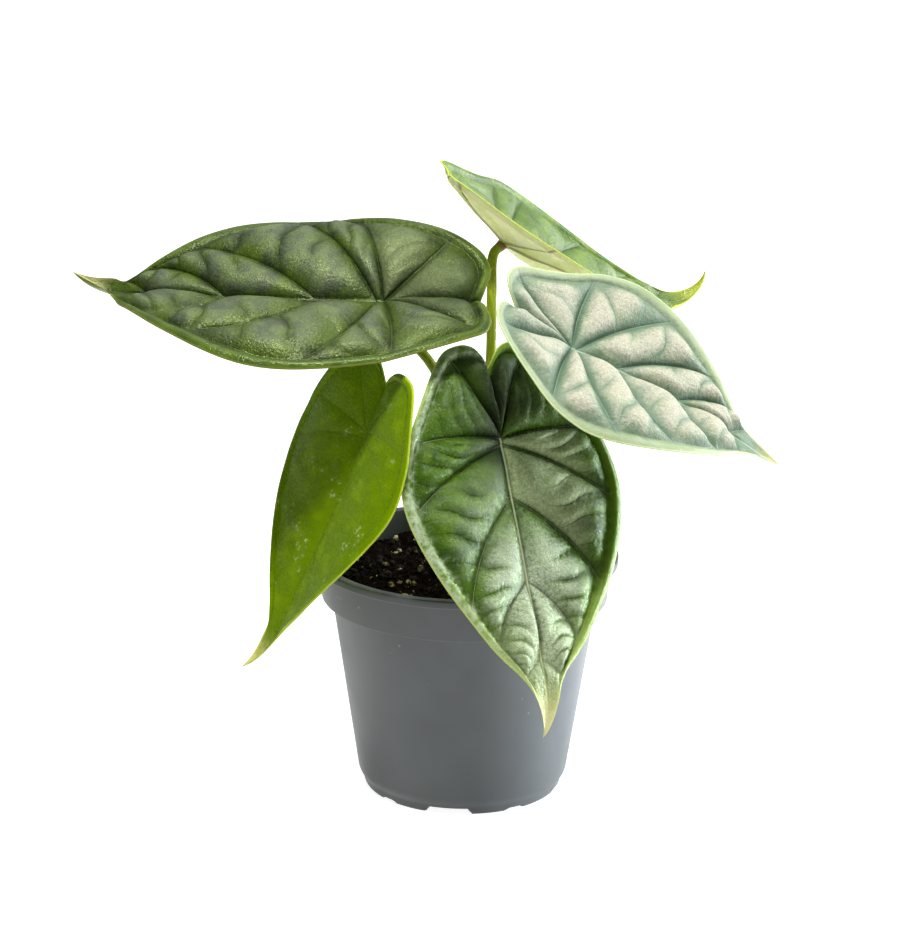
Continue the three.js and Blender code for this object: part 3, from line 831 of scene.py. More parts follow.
def vein_distances(leaf, grid, side):
    """Distances to the nearest main vein, the midrib and the margin, and what depends on them."""
    last = len(VEINS) - 2
    to_this = np.where(grid["gap"] == 0, FAR_OFF, grid["between"] * grid["spacing"])
    to_next = np.where(grid["gap"] == last, FAR_OFF, (1 - grid["between"]) * grid["spacing"])
    ahead = grid["flat"][..., 0]
    grid["vein_mm"] = np.minimum(to_this, to_next)
    grid["midrib_mm"] = np.hypot(grid["flat"][..., 1], np.minimum(ahead, 0))
    grid["edge_mm"] = (1 - grid["out"]) * grid["line"]
    grid["along"] = ahead / leaf["length"]
    # Painted shade in the fold behind the joint, darkest along the midrib
    seam = bell(grid["flat"][..., 1], CHANNEL_SHADE_WIDTH) * leaf["channel"]
    grid["channel"] = seam * smooth((leaf["channel_shade_ends"][side] - ahead) / CHANNEL_SHADE_FADE)
    # Painted sheen on chosen wedges, kept off the veins and the margin
    facet = np.isin(grid["gap"], leaf["painted_sheen_gaps"][side]) * smooth(grid["vein_mm"] / SHEEN_FADE)
    grid["facet"] = facet * smooth((SHEEN_END - grid["out"]) / 0.3)
    grid["rim_shine"] = np.full_like(ahead, leaf["rim_shine"][side])


def corner_normals(points, faces):
    """Area-weighted normals of the points of a mesh of quads."""
    a, b, c, d = (points[faces[:, i]] for i in range(4))
    across = np.cross(c - a, d - b)
    normals = np.zeros_like(points)
    for i in range(4):
        np.add.at(normals, faces[:, i], across)
    return unit(normals)


def blade_sheet(leaf, sizes):
    """The blade's welded middle sheet: points, quads and every named value of the points."""
    spine = blade_spine(leaf)
    values = {}
    faces = []
    count = 0
    for side, way in enumerate((1, -1)):
        grid = half_grid(leaf, way, sizes)
        grid["height"] = quilt_height(leaf, grid)
        vein_distances(leaf, grid, side)
        rows, columns = grid["out"].shape
        reach = way * grid["flat"][..., 1] * (1 + way * leaf["lean"])
        grid["point"] = on_blade(leaf, spine, grid["flat"][..., 0], reach)
        grid["flat"] = np.stack([grid["flat"][..., 0], reach, np.zeros_like(reach)], axis=-1)
        grid["reach"] = np.abs(reach) / leaf["half_width"]
        for key, value in grid.items():
            values.setdefault(key, []).append(value.reshape(rows * columns, -1))
        index = count + np.arange(rows * columns).reshape(rows, columns)
        quad = np.stack(
            [index[:-1, :-1], index[:-1, 1:], index[1:, 1:], index[1:, :-1]], axis=-1).reshape(-1, 4)
        faces.append(quad[:, ::-1] if way > 0 else quad)
        count += rows * columns
    values = {key: np.concatenate(value) for key, value in values.items()}
    keys = np.round(values["point"] * 1e4).astype(np.int64)
    _, first, welded = np.unique(keys, axis=0, return_index=True, return_inverse=True)
    faces = welded.reshape(-1)[np.concatenate(faces)]
    return {key: value[first] for key, value in values.items()}, faces


def drop_flat_faces(faces):
    """Quads as lists, with repeated corners taken out and lines left out."""
    kept = []
    for face in faces.tolist():
        corners = [v for i, v in enumerate(face) if v != face[i - 1]]
        if len(set(corners)) >= 3:
            kept.append(corners)
    return kept


def margin_edges(faces):
    """Directed edges that only one face uses."""
    edges = {(f[i - 1], f[i]) for f in faces for i in range(len(f))}
    return [(a, b) for a, b in edges if (b, a) not in edges]


def ripple(points, size):
    """Uneven soft relief, from -1 to 1, over points in millimetres."""
    return np.array([noise.noise(Vector((*p, 0)[:3]) / size) for p in points])


def build_blade(name, leaf, sizes, material):
    """The blade: its sheet raised by the relief, and an underside with ribs below it."""
    values, quads = blade_sheet(leaf, sizes)
    points = values["point"]
    normals = corner_normals(points, quads)
    faces = drop_flat_faces(quads)
    near_vein, midrib, edge, out, start, height = (
        values[key][:, 0] for key in ("vein_mm", "midrib_mm", "edge_mm", "out", "start", "height"))
    thinning = (1 - out) ** 0.5
    grooves = np.maximum(
        bell(near_vein, GROOVE_WIDTH) * thinning * smooth(out / GROOVE_START),
        bell(midrib, MIDRIB_GROOVE_WIDTH) * (1 - start),
    )
    ribs = np.maximum(
        (1 - start) * bell(midrib, MIDRIB_WIDTH),
        SIDE_RIB_SHARE * thinning * bell(near_vein, SIDE_RIB_WIDTH) * smooth(out / RIB_START),
    )
    height = height + sizes.ripple / MM * ripple(points, RIPPLE_SIZE) * smooth(edge / RIPPLE_FADE)
    groove = sizes.groove / MM * min(1, leaf["relief"] / 2)
    thinner = (BLADE_THICKNESS - sizes.edge / MM) * (1 - smooth(edge / EDGE_WIDTH))
    thickness = BLADE_THICKNESS - thinner + RIB_THICKNESS * ribs
    upper = points + normals * (height - grooves * groove)[:, None]
    lower = points + normals * (height - thickness)[:, None]
    count = len(upper)
    sides = [(b, a, a + count, b + count) for a, b in margin_edges(faces)]
    under = [[v + count for v in reversed(face)] for face in faces]
    blade = new_piece(
        f"leaf_{name}", np.concatenate([upper, lower]), faces + under + sides, material,
        leaf["slot"], f"blade_{name}",
    )
    for key in BLADE_VALUES:
        set_attribute(blade, key, np.tile(values[key][:, 0], 2))
    set_attribute(blade, "under", np.repeat([0, 1], count))
    set_attribute(blade, "flat", np.tile(values["flat"], (2, 1)), "FLOAT_VECTOR", "vector")


def blade_fields(shader):
    """What the paint of a blade reads: the values of its mesh, noises, nets and pads."""
    flat = shader.attribute("flat", "Vector")
    at = SimpleNamespace(**{key: shader.attribute(key) for key in (*BLADE_VALUES, "under")})
    at.clouds, at.sun, at.mottle, at.patches, at.grain = (
        shader.noise(flat, *kind) for kind in (CLOUDS, SUN_SPOTS, MOTTLE, PATCHES, GRAIN))
    at.net, at.fine_net = (
        shader.cells(shader.warped(flat, warp, reach), scale) for warp, reach, scale in (NET, FINE_NET))
    at.phase = shader.maths("ABSOLUTE", shader.maths("SINE", shader.times(at.pads, math.pi)))
    at.calm = shader.span(at.along, 0.95, 0.6, 0.3, 1)
    return at


def silver_and_sheen_mask(shader, at, look):
    """Silver on the pillow tops and beside the midrib, but less on the low side of each pad."""
    lift = shader.plus(at.pillow, shader.times(at.patches, 1.3), shader.times(at.clouds, 1.2))
    reach = shader.plus(at.reach, shader.times(at.clouds, 0.5))
    # Silvery coat and painted sheen on the pillow tops
    tops = shader.times(
        shader.span(lift, 1.4, 2.3, 0, look.bloom),
        shader.span(reach, look.spread + 0.75, look.spread + 0.1),
        shader.span(at.along, 0.05, 0.5, 1 - look.tipwards, 1),
    )
    # Painted sheen beside the midrib, towards the tip
    inner = shader.times(
        shader.span(reach, 0.75, 0.3), shader.span(at.along, 0.2, 0.5),
        shader.span(at.along, 0.95, 0.7), shader.span(at.patches, 0.2, 0.6, 0, look.tipwards),
    )
    # Painted shade: less silvery on the low side of each pad, which faces down
    shaded_pad_side = shader.times(shader.span(at.phase, 0.7, 0.2, 0, 0.6), at.padded)
    return shader.times(shader.maths("MAXIMUM", tops, inner), shader.maths("SUBTRACT", 1, shaded_pad_side))


def shade_and_mark_coats(shader, at, look):
    """Dark creases along the veins, the midrib and the pads, both nets, and fine specks."""
    uneven = shader.times(at.mottle, 0.7)
    # Painted shade beside the main veins
    slope = shader.span(shader.plus(at.vein_mm, uneven), look.slope / MM, 0.4, 0, look.shade)
    # Painted shade in the creases between the pads
    pad_crease_shade = shader.times(shader.span(at.phase, 0.2, 0.02), at.padded)
    shares = (
        shader.times(slope, at.calm),
        # Painted shade beside the midrib
        shader.span(shader.plus(at.midrib_mm, uneven), 1.8, 0.7, 0, look.shade),
        shader.times(pad_crease_shade, shader.times(at.calm, look.shade)),
        shader.span(at.net, 0.14, 0, 0, look.net),
        shader.span(at.fine_net, 0.12, 0, 0, 2 * look.net),
        shader.span(at.grain, 0.53, 0.64, 0, look.specks),
    )
    return [(dark, look.furrow) for dark in shares]


def rim_coat(shader, at, look):
    """The smooth band along the margin, as its share and its colour."""
    outwards = shader.plus(at.out, shader.times(at.mottle, 0.12))
    # Painted highlight along the rolled rim, in soft patches
    highlight_streak = shader.times(
        at.rim_shine, shader.span(at.mottle, 0.3, 0.6), shader.span(at.patches, 0.3, 0.6, 0.5, 1))
    tone = shader.paint(
        look.rim,
        (shader.span(at.clouds, 0.35, 0.65), look.warm),
        (highlight_streak, look.silver),
        (shader.span(at.along, 0.3, 0.95, 0, 0.2 + 0.4 * look.tipwards), look.edge),
    )
    return shader.span(outwards, look.rim_from + 0.02, look.rim_from + 0.11), tone


def blade_material(name, look):
    """Leaf tissue: patches, silver bloom, dark creases, veins, rim, edge line and drip tip."""
    shader = Shader(f"leaf_{name}")
    at = blade_fields(shader)
    # Painted sheen on chosen wedges, which takes the place of the silvery coat there
    facet = shader.times(at.facet, shader.span(at.patches, 0.3, 0.7, 0.5, 0.85))
    bloom = shader.times(silver_and_sheen_mask(shader, at, look), shader.maths("SUBTRACT", 1, facet))
    # Painted glints: small pale spots where the crinkled surface would catch a lamp
    flecks = shader.times(
        shader.span(at.net, 0.12, 0.03), shader.span(at.mottle, 0.5, 0.6),
        shader.span(at.clouds, 0.56, 0.63), shader.span(at.along, 0.8, 0.5, 0, look.flecks),
    )
    rim, rim_tone = rim_coat(shader, at, look)
    tipward = shader.plus(at.along, shader.times(at.mottle, 0.08))
    upper = shader.paint(
        look.pillow,
        (shader.span(at.clouds, 0.4, 0.6), look.patch),
        (shader.times(shader.span(at.sun, 0.45, 0.62), at.pillow), look.warm),
        # Silvery coat with painted sheen
        (bloom, look.silver),
        # Painted sheen in a pale taupe
        (facet, shader.mix(0.5, look.silver, look.edge)),
        # Painted shade in the creases, then dark nets and specks
        *shade_and_mark_coats(shader, at, look),
        # Painted glints
        (flecks, look.silver),
        # Painted shade in the fold behind the joint
        (at.channel, look.channel),
        (shader.span(at.vein_mm, 0.3, 0.1, 0, 0.3), look.vein),
        (shader.span(at.midrib_mm, 0.55, 0.2, 0, 0.8), look.vein),
        (shader.span(at.along, 0.4, 0.95, 0, 0.25 * look.tipwards), look.edge),
        (rim, rim_tone),
        (shader.span(at.edge_mm, 0.8, 0.3), look.edge),
        (shader.span(tipward, look.tip_from, 1.03), look.tip),
    )
    lower = shader.paint(
        look.underside,
        (shader.span(at.mottle, 0.3, 0.7), look.underside_patch),
        (shader.span(at.vein_mm, 0.9, 0.3, 0, 0.6), look.underside_vein),
        (shader.span(at.edge_mm, 1.4, 0.5), look.edge),
    )
    rough = shader.plus(
        shader.span(at.mottle, 0.3, 0.7, look.roughness - 0.07, look.roughness + 0.07),
        shader.times(bloom, 0.08), shader.times(at.channel, 0.4),
    )
    normal = shader.bump(shader.span(at.net, 0, 0.3), 0.1 * MM, 0.6)
    normal = shader.bump(shader.span(at.fine_net, 0, 0.3), 0.06 * MM, 0.8, normal)
    normal = shader.bump(shader.mix(rim, at.patches, (0.5, 0.5, 0.5)), look.crinkle, 0.8, normal)
    normal = shader.bump(at.grain, 0.1 * MM, 0.8, normal)
    return shader.finish(
        shader.mix(at.under, upper, lower), rough, normal,
        specular_ior_level=look.gloss, specular_tint=look.glint)


class ALOCASIA_OT_blades(Operator):
    """Build the quilted blades of all leaves"""

    bl_idname = "alocasia.blades"
    bl_label = "Blades"

    def execute(self, context):
        plant = context.scene.alocasia
        for name, leaf in LEAVES.items():
            look = getattr(plant, f"{name}_blade")
            build_blade(name, leaf, plant.blades, blade_material(name, look))
        return {"FINISHED"}


# Petioles and crown


def petiole_route(leaf):
    """Points from the socket in the crown to the joint of the blade, in millimetres."""
    angle = math.radians(leaf["socket"])
    out = np.array([*ring_place(1, angle), 0])
    foot = out * SOCKET_CIRCLE + np.array([0, 0, CROWN_TOP - SOCKET_DEPTH])
    leaving = foot + out * 0.8
    leaving[2] = CROWN_TOP + 1
    up = joint_frame(leaf)[2]
    head = np.array(leaf["joint"], float) - up * (BLADE_THICKNESS + RIB_THICKNESS + SEAT_GAP)
    return np.array([foot, leaving, *leaf["petiole"], head - up * 4, head])


def smooth_route(points, steps):
    """Points on the centripetal Catmull-Rom curve through the given ones."""
    points = np.vstack([2 * points[0] - points[1], points, 2 * points[-1] - points[-2]])
    knots = np.concatenate([[0], np.cumsum(np.linalg.norm(np.diff(points, axis=0), axis=1) ** 0.5)])

    def blend(t, a, b, left, right):
        return (a * (knots[right] - t) + b * (t - knots[left])) / (knots[right] - knots[left])

    route = []
    for i in range(1, len(points) - 2):
        for t in np.linspace(knots[i], knots[i + 1], steps, endpoint=False):
            a, b, c = (blend(t, points[k], points[k + 1], k, k + 1) for k in (i - 1, i, i + 1))
            early = blend(t, a, b, i - 1, i + 1)
            late = blend(t, b, c, i, i + 2)
            route.append(blend(t, early, late, i, i + 1))
    route.append(points[-2])
    return np.array(route)


def tube(route, radii, sides):
    """Vertices and faces of a closed tube along a route, with rings that don't twist."""
    ahead = unit(np.gradient(route, axis=0))
    side = unit(np.cross(ahead[0], [0.31, 0.95, 0.05]))
    vertices = []
    for place, way, radius in zip(route, ahead, radii):
        side = unit(side - way * np.dot(side, way))
        up = np.cross(way, side)
        for i in range(sides):
            x, y = ring_place(1, 2 * math.pi * i / sides)
            vertices.append(place + radius * (x * side + y * up))
    return np.array(vertices), capped_faces(len(route), sides)


def build_petiole(name, leaf, material):
    """A slightly tapered stalk that widens under the blade and ends inside its thickness."""
    route = smooth_route(petiole_route(leaf), 16)
    route = np.vstack([route, route[-1] + joint_frame(leaf)[2] * 1.2])
    along = np.linspace(0, 1, len(route))
    taper = 1 - PETIOLE_TAPER * smooth(along / 0.7) + 0.1 * smooth((along - 0.9) / 0.1)
    vertices, faces = tube(route, PETIOLE_RADIUS * taper, PETIOLE_SIDES)
    piece = new_piece(
        f"stem_{name}", vertices, faces, material, "stem_green", f"petiole_{name}")
    set_attribute(piece, "along", np.repeat(along, PETIOLE_SIDES))


def stem_material(look):
    """Green with paler streaks, a pale sheath at the foot and a brown neck under the blade."""
    shader = Shader("stem")
    place = shader.place()
    along = shader.attribute("along")
    streaks = shader.noise(shader.vectors("MULTIPLY", place, (1, 1, 0.12)), 900, 3, 0.6)
    blotches = shader.noise(place, 160)
    base = shader.paint(
        look.green,
        (shader.span(streaks, 0.4, 0.7), look.pale),
        (shader.span(along, 0.35, 0.0), look.sheath),
        (shader.times(shader.span(along, 0.93, 0.99), shader.span(blotches, 0.3, 0.55)), look.neck),
    )
    rough = shader.span(blotches, 0.3, 0.7, 0.34, 0.5)
    return shader.finish(
        base, rough, shader.bump(streaks, 0.1 * MM, 0.5),
        subsurface_weight=0.15, subsurface_scale=2 * MM, specular_ior_level=0.25)


def build_crown(material):
    """The crown as a short stem with sheath scars."""
    shoulder = SOIL_TOP + 3
    profile = [(0.02, CROWN_BOTTOM), (6.3, CROWN_BOTTOM)]
    profile += [(CROWN_RADIUS * (0.7 + 0.3 * smooth(t)), CROWN_BOTTOM + 6 * t)
                for t in np.linspace(0.1, 1, 6)]
    profile += [(CROWN_RADIUS, z) for z in np.linspace(CROWN_BOTTOM + 8, shoulder, 10)]
    profile += [(CROWN_RADIUS * math.cos(t) ** 0.6, shoulder + 9 * math.sin(t))
                for t in np.linspace(0.15, 1.45, 14)]
    profile.append((0.02, CROWN_TOP))

    def scarred(radius, height, angle):
        scar = SCAR_DEPTH * math.sin(SHEATH_SCARS * angle + height * 0.9) * min(1, radius / 4)
        return radius + scar - SCAR_DEPTH if radius > 1 else radius, height

    vertices = turned(profile, CROWN_SIDES, scarred)
    faces = capped_faces(len(profile), CROWN_SIDES)
    piece = new_piece("crown_stem", vertices, faces, material, "stem_green", "crown")
    set_attribute(piece, "along", np.zeros(len(vertices)))


class ALOCASIA_OT_stems(Operator):
    """Build the petioles and the crown that they grow out of"""

    bl_idname = "alocasia.stems"
    bl_label = "Petioles and crown"

    def execute(self, context):
        material = stem_material(context.scene.alocasia.stems)
        for name, leaf in LEAVES.items():
            build_petiole(name, leaf, material)
        build_crown(material)
        return {"FINISHED"}


# Soil


def soil_height(x, y, lump):
    """Height of the lumpy soil over its own level, in millimetres."""
    place = Vector((x, y, 3.7))
    coarse = noise.fractal(place / COARSE_LUMP, 0.9, 2.1, 4)
    fine = noise.fractal(place / FINE_LUMP, 0.7, 2.2, 4)
    return lump * (0.9 * coarse + 0.55 * fine - 0.15)


def build_soil(sizes, material):
    """The soil as a body turned to the pot's inside, with a lumpy top."""
    steps = 3 * sizes.rings
    outer = BAND_RADIUS - WALL - SOIL_GAP
    lump = sizes.lump / MM
    profile = [
        (BODY_BOTTOM_RADIUS - 2 * WALL - SOIL_GAP, FLOOR_UNDERSIDE + WALL + SOIL_GAP),
        (BODY_BOTTOM_RADIUS - WALL - SOIL_GAP, BODY_BOTTOM + WALL + 0.6),
        (BODY_TOP_RADIUS - WALL - SOIL_GAP, BAND_BOTTOM - WALL + 0.1),
        (outer, BAND_BOTTOM + WALL + 0.6),
        (outer, SOIL_TOP - 1.5),
    ]
    top = [(outer * (1 - ring / sizes.rings), SOIL_TOP) for ring in range(1, sizes.rings)]

    def lumpy(radius, height, angle):
        return radius, height + soil_height(*ring_place(radius, angle), lump)

    vertices = [(0.0, 0.0, profile[0][1]), *turned(profile, steps), *turned(top, steps, lumpy)]
    vertices.append((0.0, 0.0, SOIL_TOP))
    rings = len(profile) + len(top)
    faces = [tuple(v + 1 for v in face) for face in ring_faces(rings, steps)]
    first = [(0, 1 + (i + 1) % steps, 1 + i) for i in range(steps)]
    base = 1 + (rings - 1) * steps
    last = [(base + i, base + (i + 1) % steps, len(vertices) - 1) for i in range(steps)]
    new_piece("soil_bed", vertices, faces + first + last, material, "potting_soil", "soil")


def soil_spot(margin, draw):
    """A random place on the soil that stays off the pot's wall by the margin."""
    reach = (BAND_RADIUS - WALL - margin) * math.sqrt(draw.random())
    return ring_place(reach, draw.uniform(0, 2 * math.pi))


def scatter_lumps(name, sizes, material, draw):
    """One mesh of many irregular grains lying on the soil."""
    ball = bmesh.new()
    bmesh.ops.create_icosphere(ball, subdivisions=1, radius=1)
    corners = np.array([v.co for v in ball.verts])
    triangles = np.array([[v.index for v in f.verts] for f in ball.faces])
    ball.free()
    smallest, largest, flatness, rise = GRAINS[name]
    vertices = []
    faces = []
    for _ in range(getattr(sizes, name)):
        x, y = soil_spot(2, draw)
        if math.hypot(x, y) < CROWN_RADIUS + 1:
            continue
        size = smallest + (largest - smallest) * draw.random() ** 2.2
        stretch = np.array((1, draw.uniform(0.5, 0.9), draw.uniform(flatness * 0.7, flatness)))
        turn = Matrix.Rotation(draw.uniform(0, 2 * math.pi), 3, "Z")
        for axis in "XY":
            turn = turn @ Matrix.Rotation(draw.uniform(-GRAIN_TILT, GRAIN_TILT), 3, axis)
        z = SOIL_TOP + soil_height(x, y, sizes.lump / MM) + rise * size
        knobs = np.array([draw.uniform(0.72, 1.12) for _ in corners])[:, None]
        grain = corners * knobs * size / 2 * stretch @ np.array(turn).T
        faces += (triangles + len(vertices) * len(corners)).tolist()
        vertices.append(grain + np.array([x, y, z]))
    new_piece(f"soil_{name}", np.concatenate(vertices), faces, material, "potting_soil")


def scatter_fibres(sizes, material, draw):
    """Fine curved root and coir fibres lying on the soil."""
    vertices = []
    faces = []
    for _ in range(sizes.fibres):
        x, y = soil_spot(8, draw)
        heading = draw.uniform(0, 2 * math.pi)
        if math.hypot(x, y) < CROWN_RADIUS + 2:
            continue
        span = draw.uniform(2.5, 8)
        bend = draw.uniform(-1.2, 1.2)
        route = []
        for t in np.linspace(0, 1, 7):
            px = x + span * t * math.cos(heading + bend * t)
            py = y + span * t * math.sin(heading + bend * t)
            hump = draw.uniform(0.2, 0.4) + 0.8 * math.sin(math.pi * t)
            route.append((px, py, SOIL_TOP + soil_height(px, py, sizes.lump / MM) + hump))
        radii = np.full(7, draw.uniform(0.08, 0.2))
        ring, quads = tube(np.array(route), radii, 5)
        faces += [tuple(v + len(vertices) for v in quad) for quad in quads]
        vertices += ring.tolist()
    new_piece("soil_fibres", vertices, faces, material, "potting_soil")


def soil_material(sizes):
    """Dark peat with browner lumps and a few pale grains."""
    shader = Shader("soil")
    place = shader.place()
    lumps = shader.noise(place, 260, 6, 0.65)
    grains = shader.noise(place, 900, 5, 0.7)
    base = shader.paint(
        sizes.dark,
        (shader.span(lumps, 0.45, 0.8), sizes.brown),
        (shader.span(grains, 0.68, 0.78, 0.0, 0.25), sizes.cream),
    )
    rough = shader.span(lumps, 0.3, 0.7, 0.7, 0.95)
    normal = shader.bump(grains, 0.6 * MM, 0.8, shader.bump(lumps, 1.2 * MM, 0.8))
    return shader.finish(base, rough, normal, specular_ior_level=0.04)


def grain_material(name, light, dark):
    """Rough loose grains between two tones."""
    shader = Shader(name)
    place = shader.place()
    patches = shader.noise(place, 500, 4, 0.6)
    pits = shader.noise(place, 2500, 4, 0.7)
    base = shader.mix(shader.span(patches, 0.35, 0.7), dark, light)
    rough = shader.span(pits, 0.3, 0.7, 0.75, 0.95)
    return shader.finish(base, rough, shader.bump(pits, 0.2 * MM, 0.8), specular_ior_level=0.15)


class ALOCASIA_OT_soil(Operator):
    """Build the potting soil with its bark, pale grains and fibres"""

    bl_idname = "alocasia.soil"
    bl_label = "Soil"

    def execute(self, context):
        sizes = context.scene.alocasia.soil
        draw = random.Random(SOIL_SEED)
        peat = soil_material(sizes)
        build_soil(sizes, peat)
        scatter_lumps("crumbs", sizes, peat, draw)
        scatter_lumps("bark", sizes, grain_material("bark", sizes.brown, sizes.dark), draw)
        scatter_lumps("perlite", sizes, grain_material("pale_grain", sizes.cream, sizes.brown), draw)
        scatter_fibres(sizes, grain_material("fibre", sizes.brown, sizes.dark), draw)
        return {"FINISHED"}


# Pot


def pot_profile():
    """Corners of the turned pot as radius, height and the size of the rounding there."""
    under_band = BAND_BOTTOM - WALL
    top_band = BAND_RADIUS + BAND_FLARE
    return [
        (0.01, FLOOR_UNDERSIDE, 0), (FOOT_RADIUS - FOOT_RING_WIDTH, FLOOR_UNDERSIDE, 0.3),
        (FOOT_RADIUS - FOOT_RING_WIDTH, 0, 0.2), (FOOT_RADIUS - 0.3, 0, 0.3),
        (FOOT_RADIUS + 0.2, 0.8, 0.5), (FOOT_RADIUS + 0.8, BODY_BOTTOM - 2.2, 0.8),
        (BODY_BOTTOM_RADIUS, BODY_BOTTOM + 0.6, 1.6), (BODY_TOP_RADIUS, BAND_BOTTOM, 0.4),
        (BAND_RADIUS - 0.1, BAND_BOTTOM, 0.5), (top_band, POT_HEIGHT - LIP_HEIGHT - 0.6, 0.6),
        (RIM_RADIUS, POT_HEIGHT - LIP_HEIGHT, 0.5), (RIM_RADIUS, POT_HEIGHT, 0.7),
        (top_band - WALL, POT_HEIGHT, 0.8), (BAND_RADIUS - WALL, BAND_BOTTOM + WALL, 0.8),
        (BODY_TOP_RADIUS - WALL, under_band, 0.8),
        (BODY_BOTTOM_RADIUS - WALL, BODY_BOTTOM + WALL, 2),
        (BODY_BOTTOM_RADIUS - 2 * WALL, FLOOR_UNDERSIDE + WALL, 0.6),
        (0.01, FLOOR_UNDERSIDE + WALL, 0),
    ]


def rounded(corners, arc_steps=5):
    """The profile with each corner turned into a small arc."""
    points = []
    for i, (radius, height, size) in enumerate(corners):
        here = np.array([radius, height])
        if size == 0 or i in (0, len(corners) - 1):
            points.append(here)
            continue
        before = np.array(corners[i - 1][:2]) - here
        after = np.array(corners[i + 1][:2]) - here
        cut = min(size, np.linalg.norm(before) * 0.45, np.linalg.norm(after) * 0.45)
        a = here + unit(before) * cut
        b = here + unit(after) * cut
        for t in np.linspace(0, 1, arc_steps):
            points.append((1 - t) ** 2 * a + 2 * t * (1 - t) * here + t * t * b)
    return points


def notch_height(angle):
    """How far the foot ring is cut away at an angle in degrees."""
    best = 0.0
    for i in range(360 // NOTCH_PITCH):
        centre = WIDE_NOTCH_FIRST + i * NOTCH_PITCH
        wide = (i * NOTCH_PITCH) % WIDE_NOTCH_EVERY == 0
        width, height = WIDE_NOTCH if wide else NARROW_NOTCH
        away = abs((angle - centre + 180) % 360 - 180)
        inside = (width / 2 + 1 - away) / 2
        best = max(best, height * min(1.0, max(0.0, inside)))
    return best


def build_pot(sizes, material):
    """The turned pot, with notches in its foot ring and holes in its floor."""
    profile = rounded(pot_profile())
    ring_inside = FOOT_RADIUS - FOOT_RING_WIDTH - 0.5

    def notched(radius, height, angle):
        if radius > ring_inside and height < FLOOR_UNDERSIDE - 0.05:
            height = max(height, notch_height(math.degrees(angle)))
        return radius, height

    vertices = turned(profile, sizes.steps, notched)
    faces = capped_faces(len(profile), sizes.steps)
    drill_holes(new_piece("nursery_pot", vertices, faces, material, "pot_plastic", "pot"))


def drill_holes(pot):
    """Drainage holes through the floor of the pot."""
    cutters = bmesh.new()
    for i in range(DRAIN_HOLES):
        angle = 2 * math.pi * (i + 0.5) / DRAIN_HOLES
        centre = Vector((*ring_place(DRAIN_CIRCLE, angle), DRILL_MIDDLE)) * MM
        bmesh.ops.create_cone(
            cutters, cap_ends=True, segments=DRILL_SIDES, radius1=DRAIN_RADIUS * MM,
            radius2=DRAIN_RADIUS * MM, depth=DRILL_DEPTH * MM,
            matrix=Matrix.Translation(centre + POT_AXIS))
    mesh = bpy.data.meshes.new("drill")
    cutters.to_mesh(mesh)
    cutters.free()
    drill = add_object("drill", mesh)
    cut = pot.modifiers.new("holes", "BOOLEAN")
    cut.object = drill
    cut.operation = "DIFFERENCE"
    cut.solver = "EXACT"
    depsgraph = bpy.context.evaluated_depsgraph_get()
    result = bpy.data.meshes.new_from_object(pot.evaluated_get(depsgraph))
    pot.modifiers.clear()
    pot.data = result
    bpy.data.objects.remove(drill)


def pot_material(sizes):
    """Moulded grey plastic with soft clouds and a few pale specks."""
    shader = Shader("pot_plastic")
    place = shader.place()
    clouds = shader.noise(place, 22)
    chosen = shader.span(shader.noise(place, 90, 2), 0.62, 0.7)
    speck = shader.times(shader.span(shader.cells(place, 260, "F1"), 0.16, 0.06), chosen)
    base = shader.paint(
        sizes.grey, (shader.span(clouds, 0.35, 0.7), sizes.shade), (speck, sizes.scuff))
    rough = shader.span(clouds, 0.3, 0.7, sizes.roughness - 0.05, sizes.roughness + 0.08)
    normal = shader.bump(shader.noise(place, 1400, 3, 0.6), 0.05 * MM, 0.5)
    return shader.finish(base, rough, normal, specular_ior_level=0.4)


class ALOCASIA_OT_pot(Operator):
    """Build the nursery pot"""

    bl_idname = "alocasia.pot"
    bl_label = "Pot"

    def execute(self, context):
        sizes = context.scene.alocasia.pot
        build_pot(sizes, pot_material(sizes))
        return {"FINISHED"}


# Stage


def build_floor(settings):
    """A pale floor that glows a little, less in front of the plant and at its left."""
    size = FLOOR_HALF_SIZE
    mesh = bpy.data.meshes.new("floor")
    corners = [(-size, -size, 0), (size, -size, 0), (size, size, 0), (-size, size, 0)]
    mesh.from_pydata(corners, [], [(0, 1, 2, 3)])
    floor = add_object("floor", mesh)
    shader = Shader("floor")
    place = shader.place()
    grain = shader.noise(place, 40)
    base = shader.mix(shader.span(grain, 0.3, 0.7, 0.0, 0.04), settings.floor, (0.7, 0.7, 0.7))
    x, y = (shader.node("ShaderNodeSeparateXYZ", {0: place}, axis) for axis in "XY")
    rightwards = shader.span(shader.plus(x, shader.times(y, GLOW_SLANT)), *GLOW_RIGHTWARDS)
    lit = shader.times(shader.span(y, *GLOW_BACKWARDS), rightwards)
    glow = shader.span(lit, 0, 1, settings.front_glow, settings.glow)
    mesh.materials.append(shader.finish(
        base, 0.8, shader.bump(grain, 0.2 * MM, 0.2),
        emission_color=(1, 1, 1, 1), emission_strength=glow))


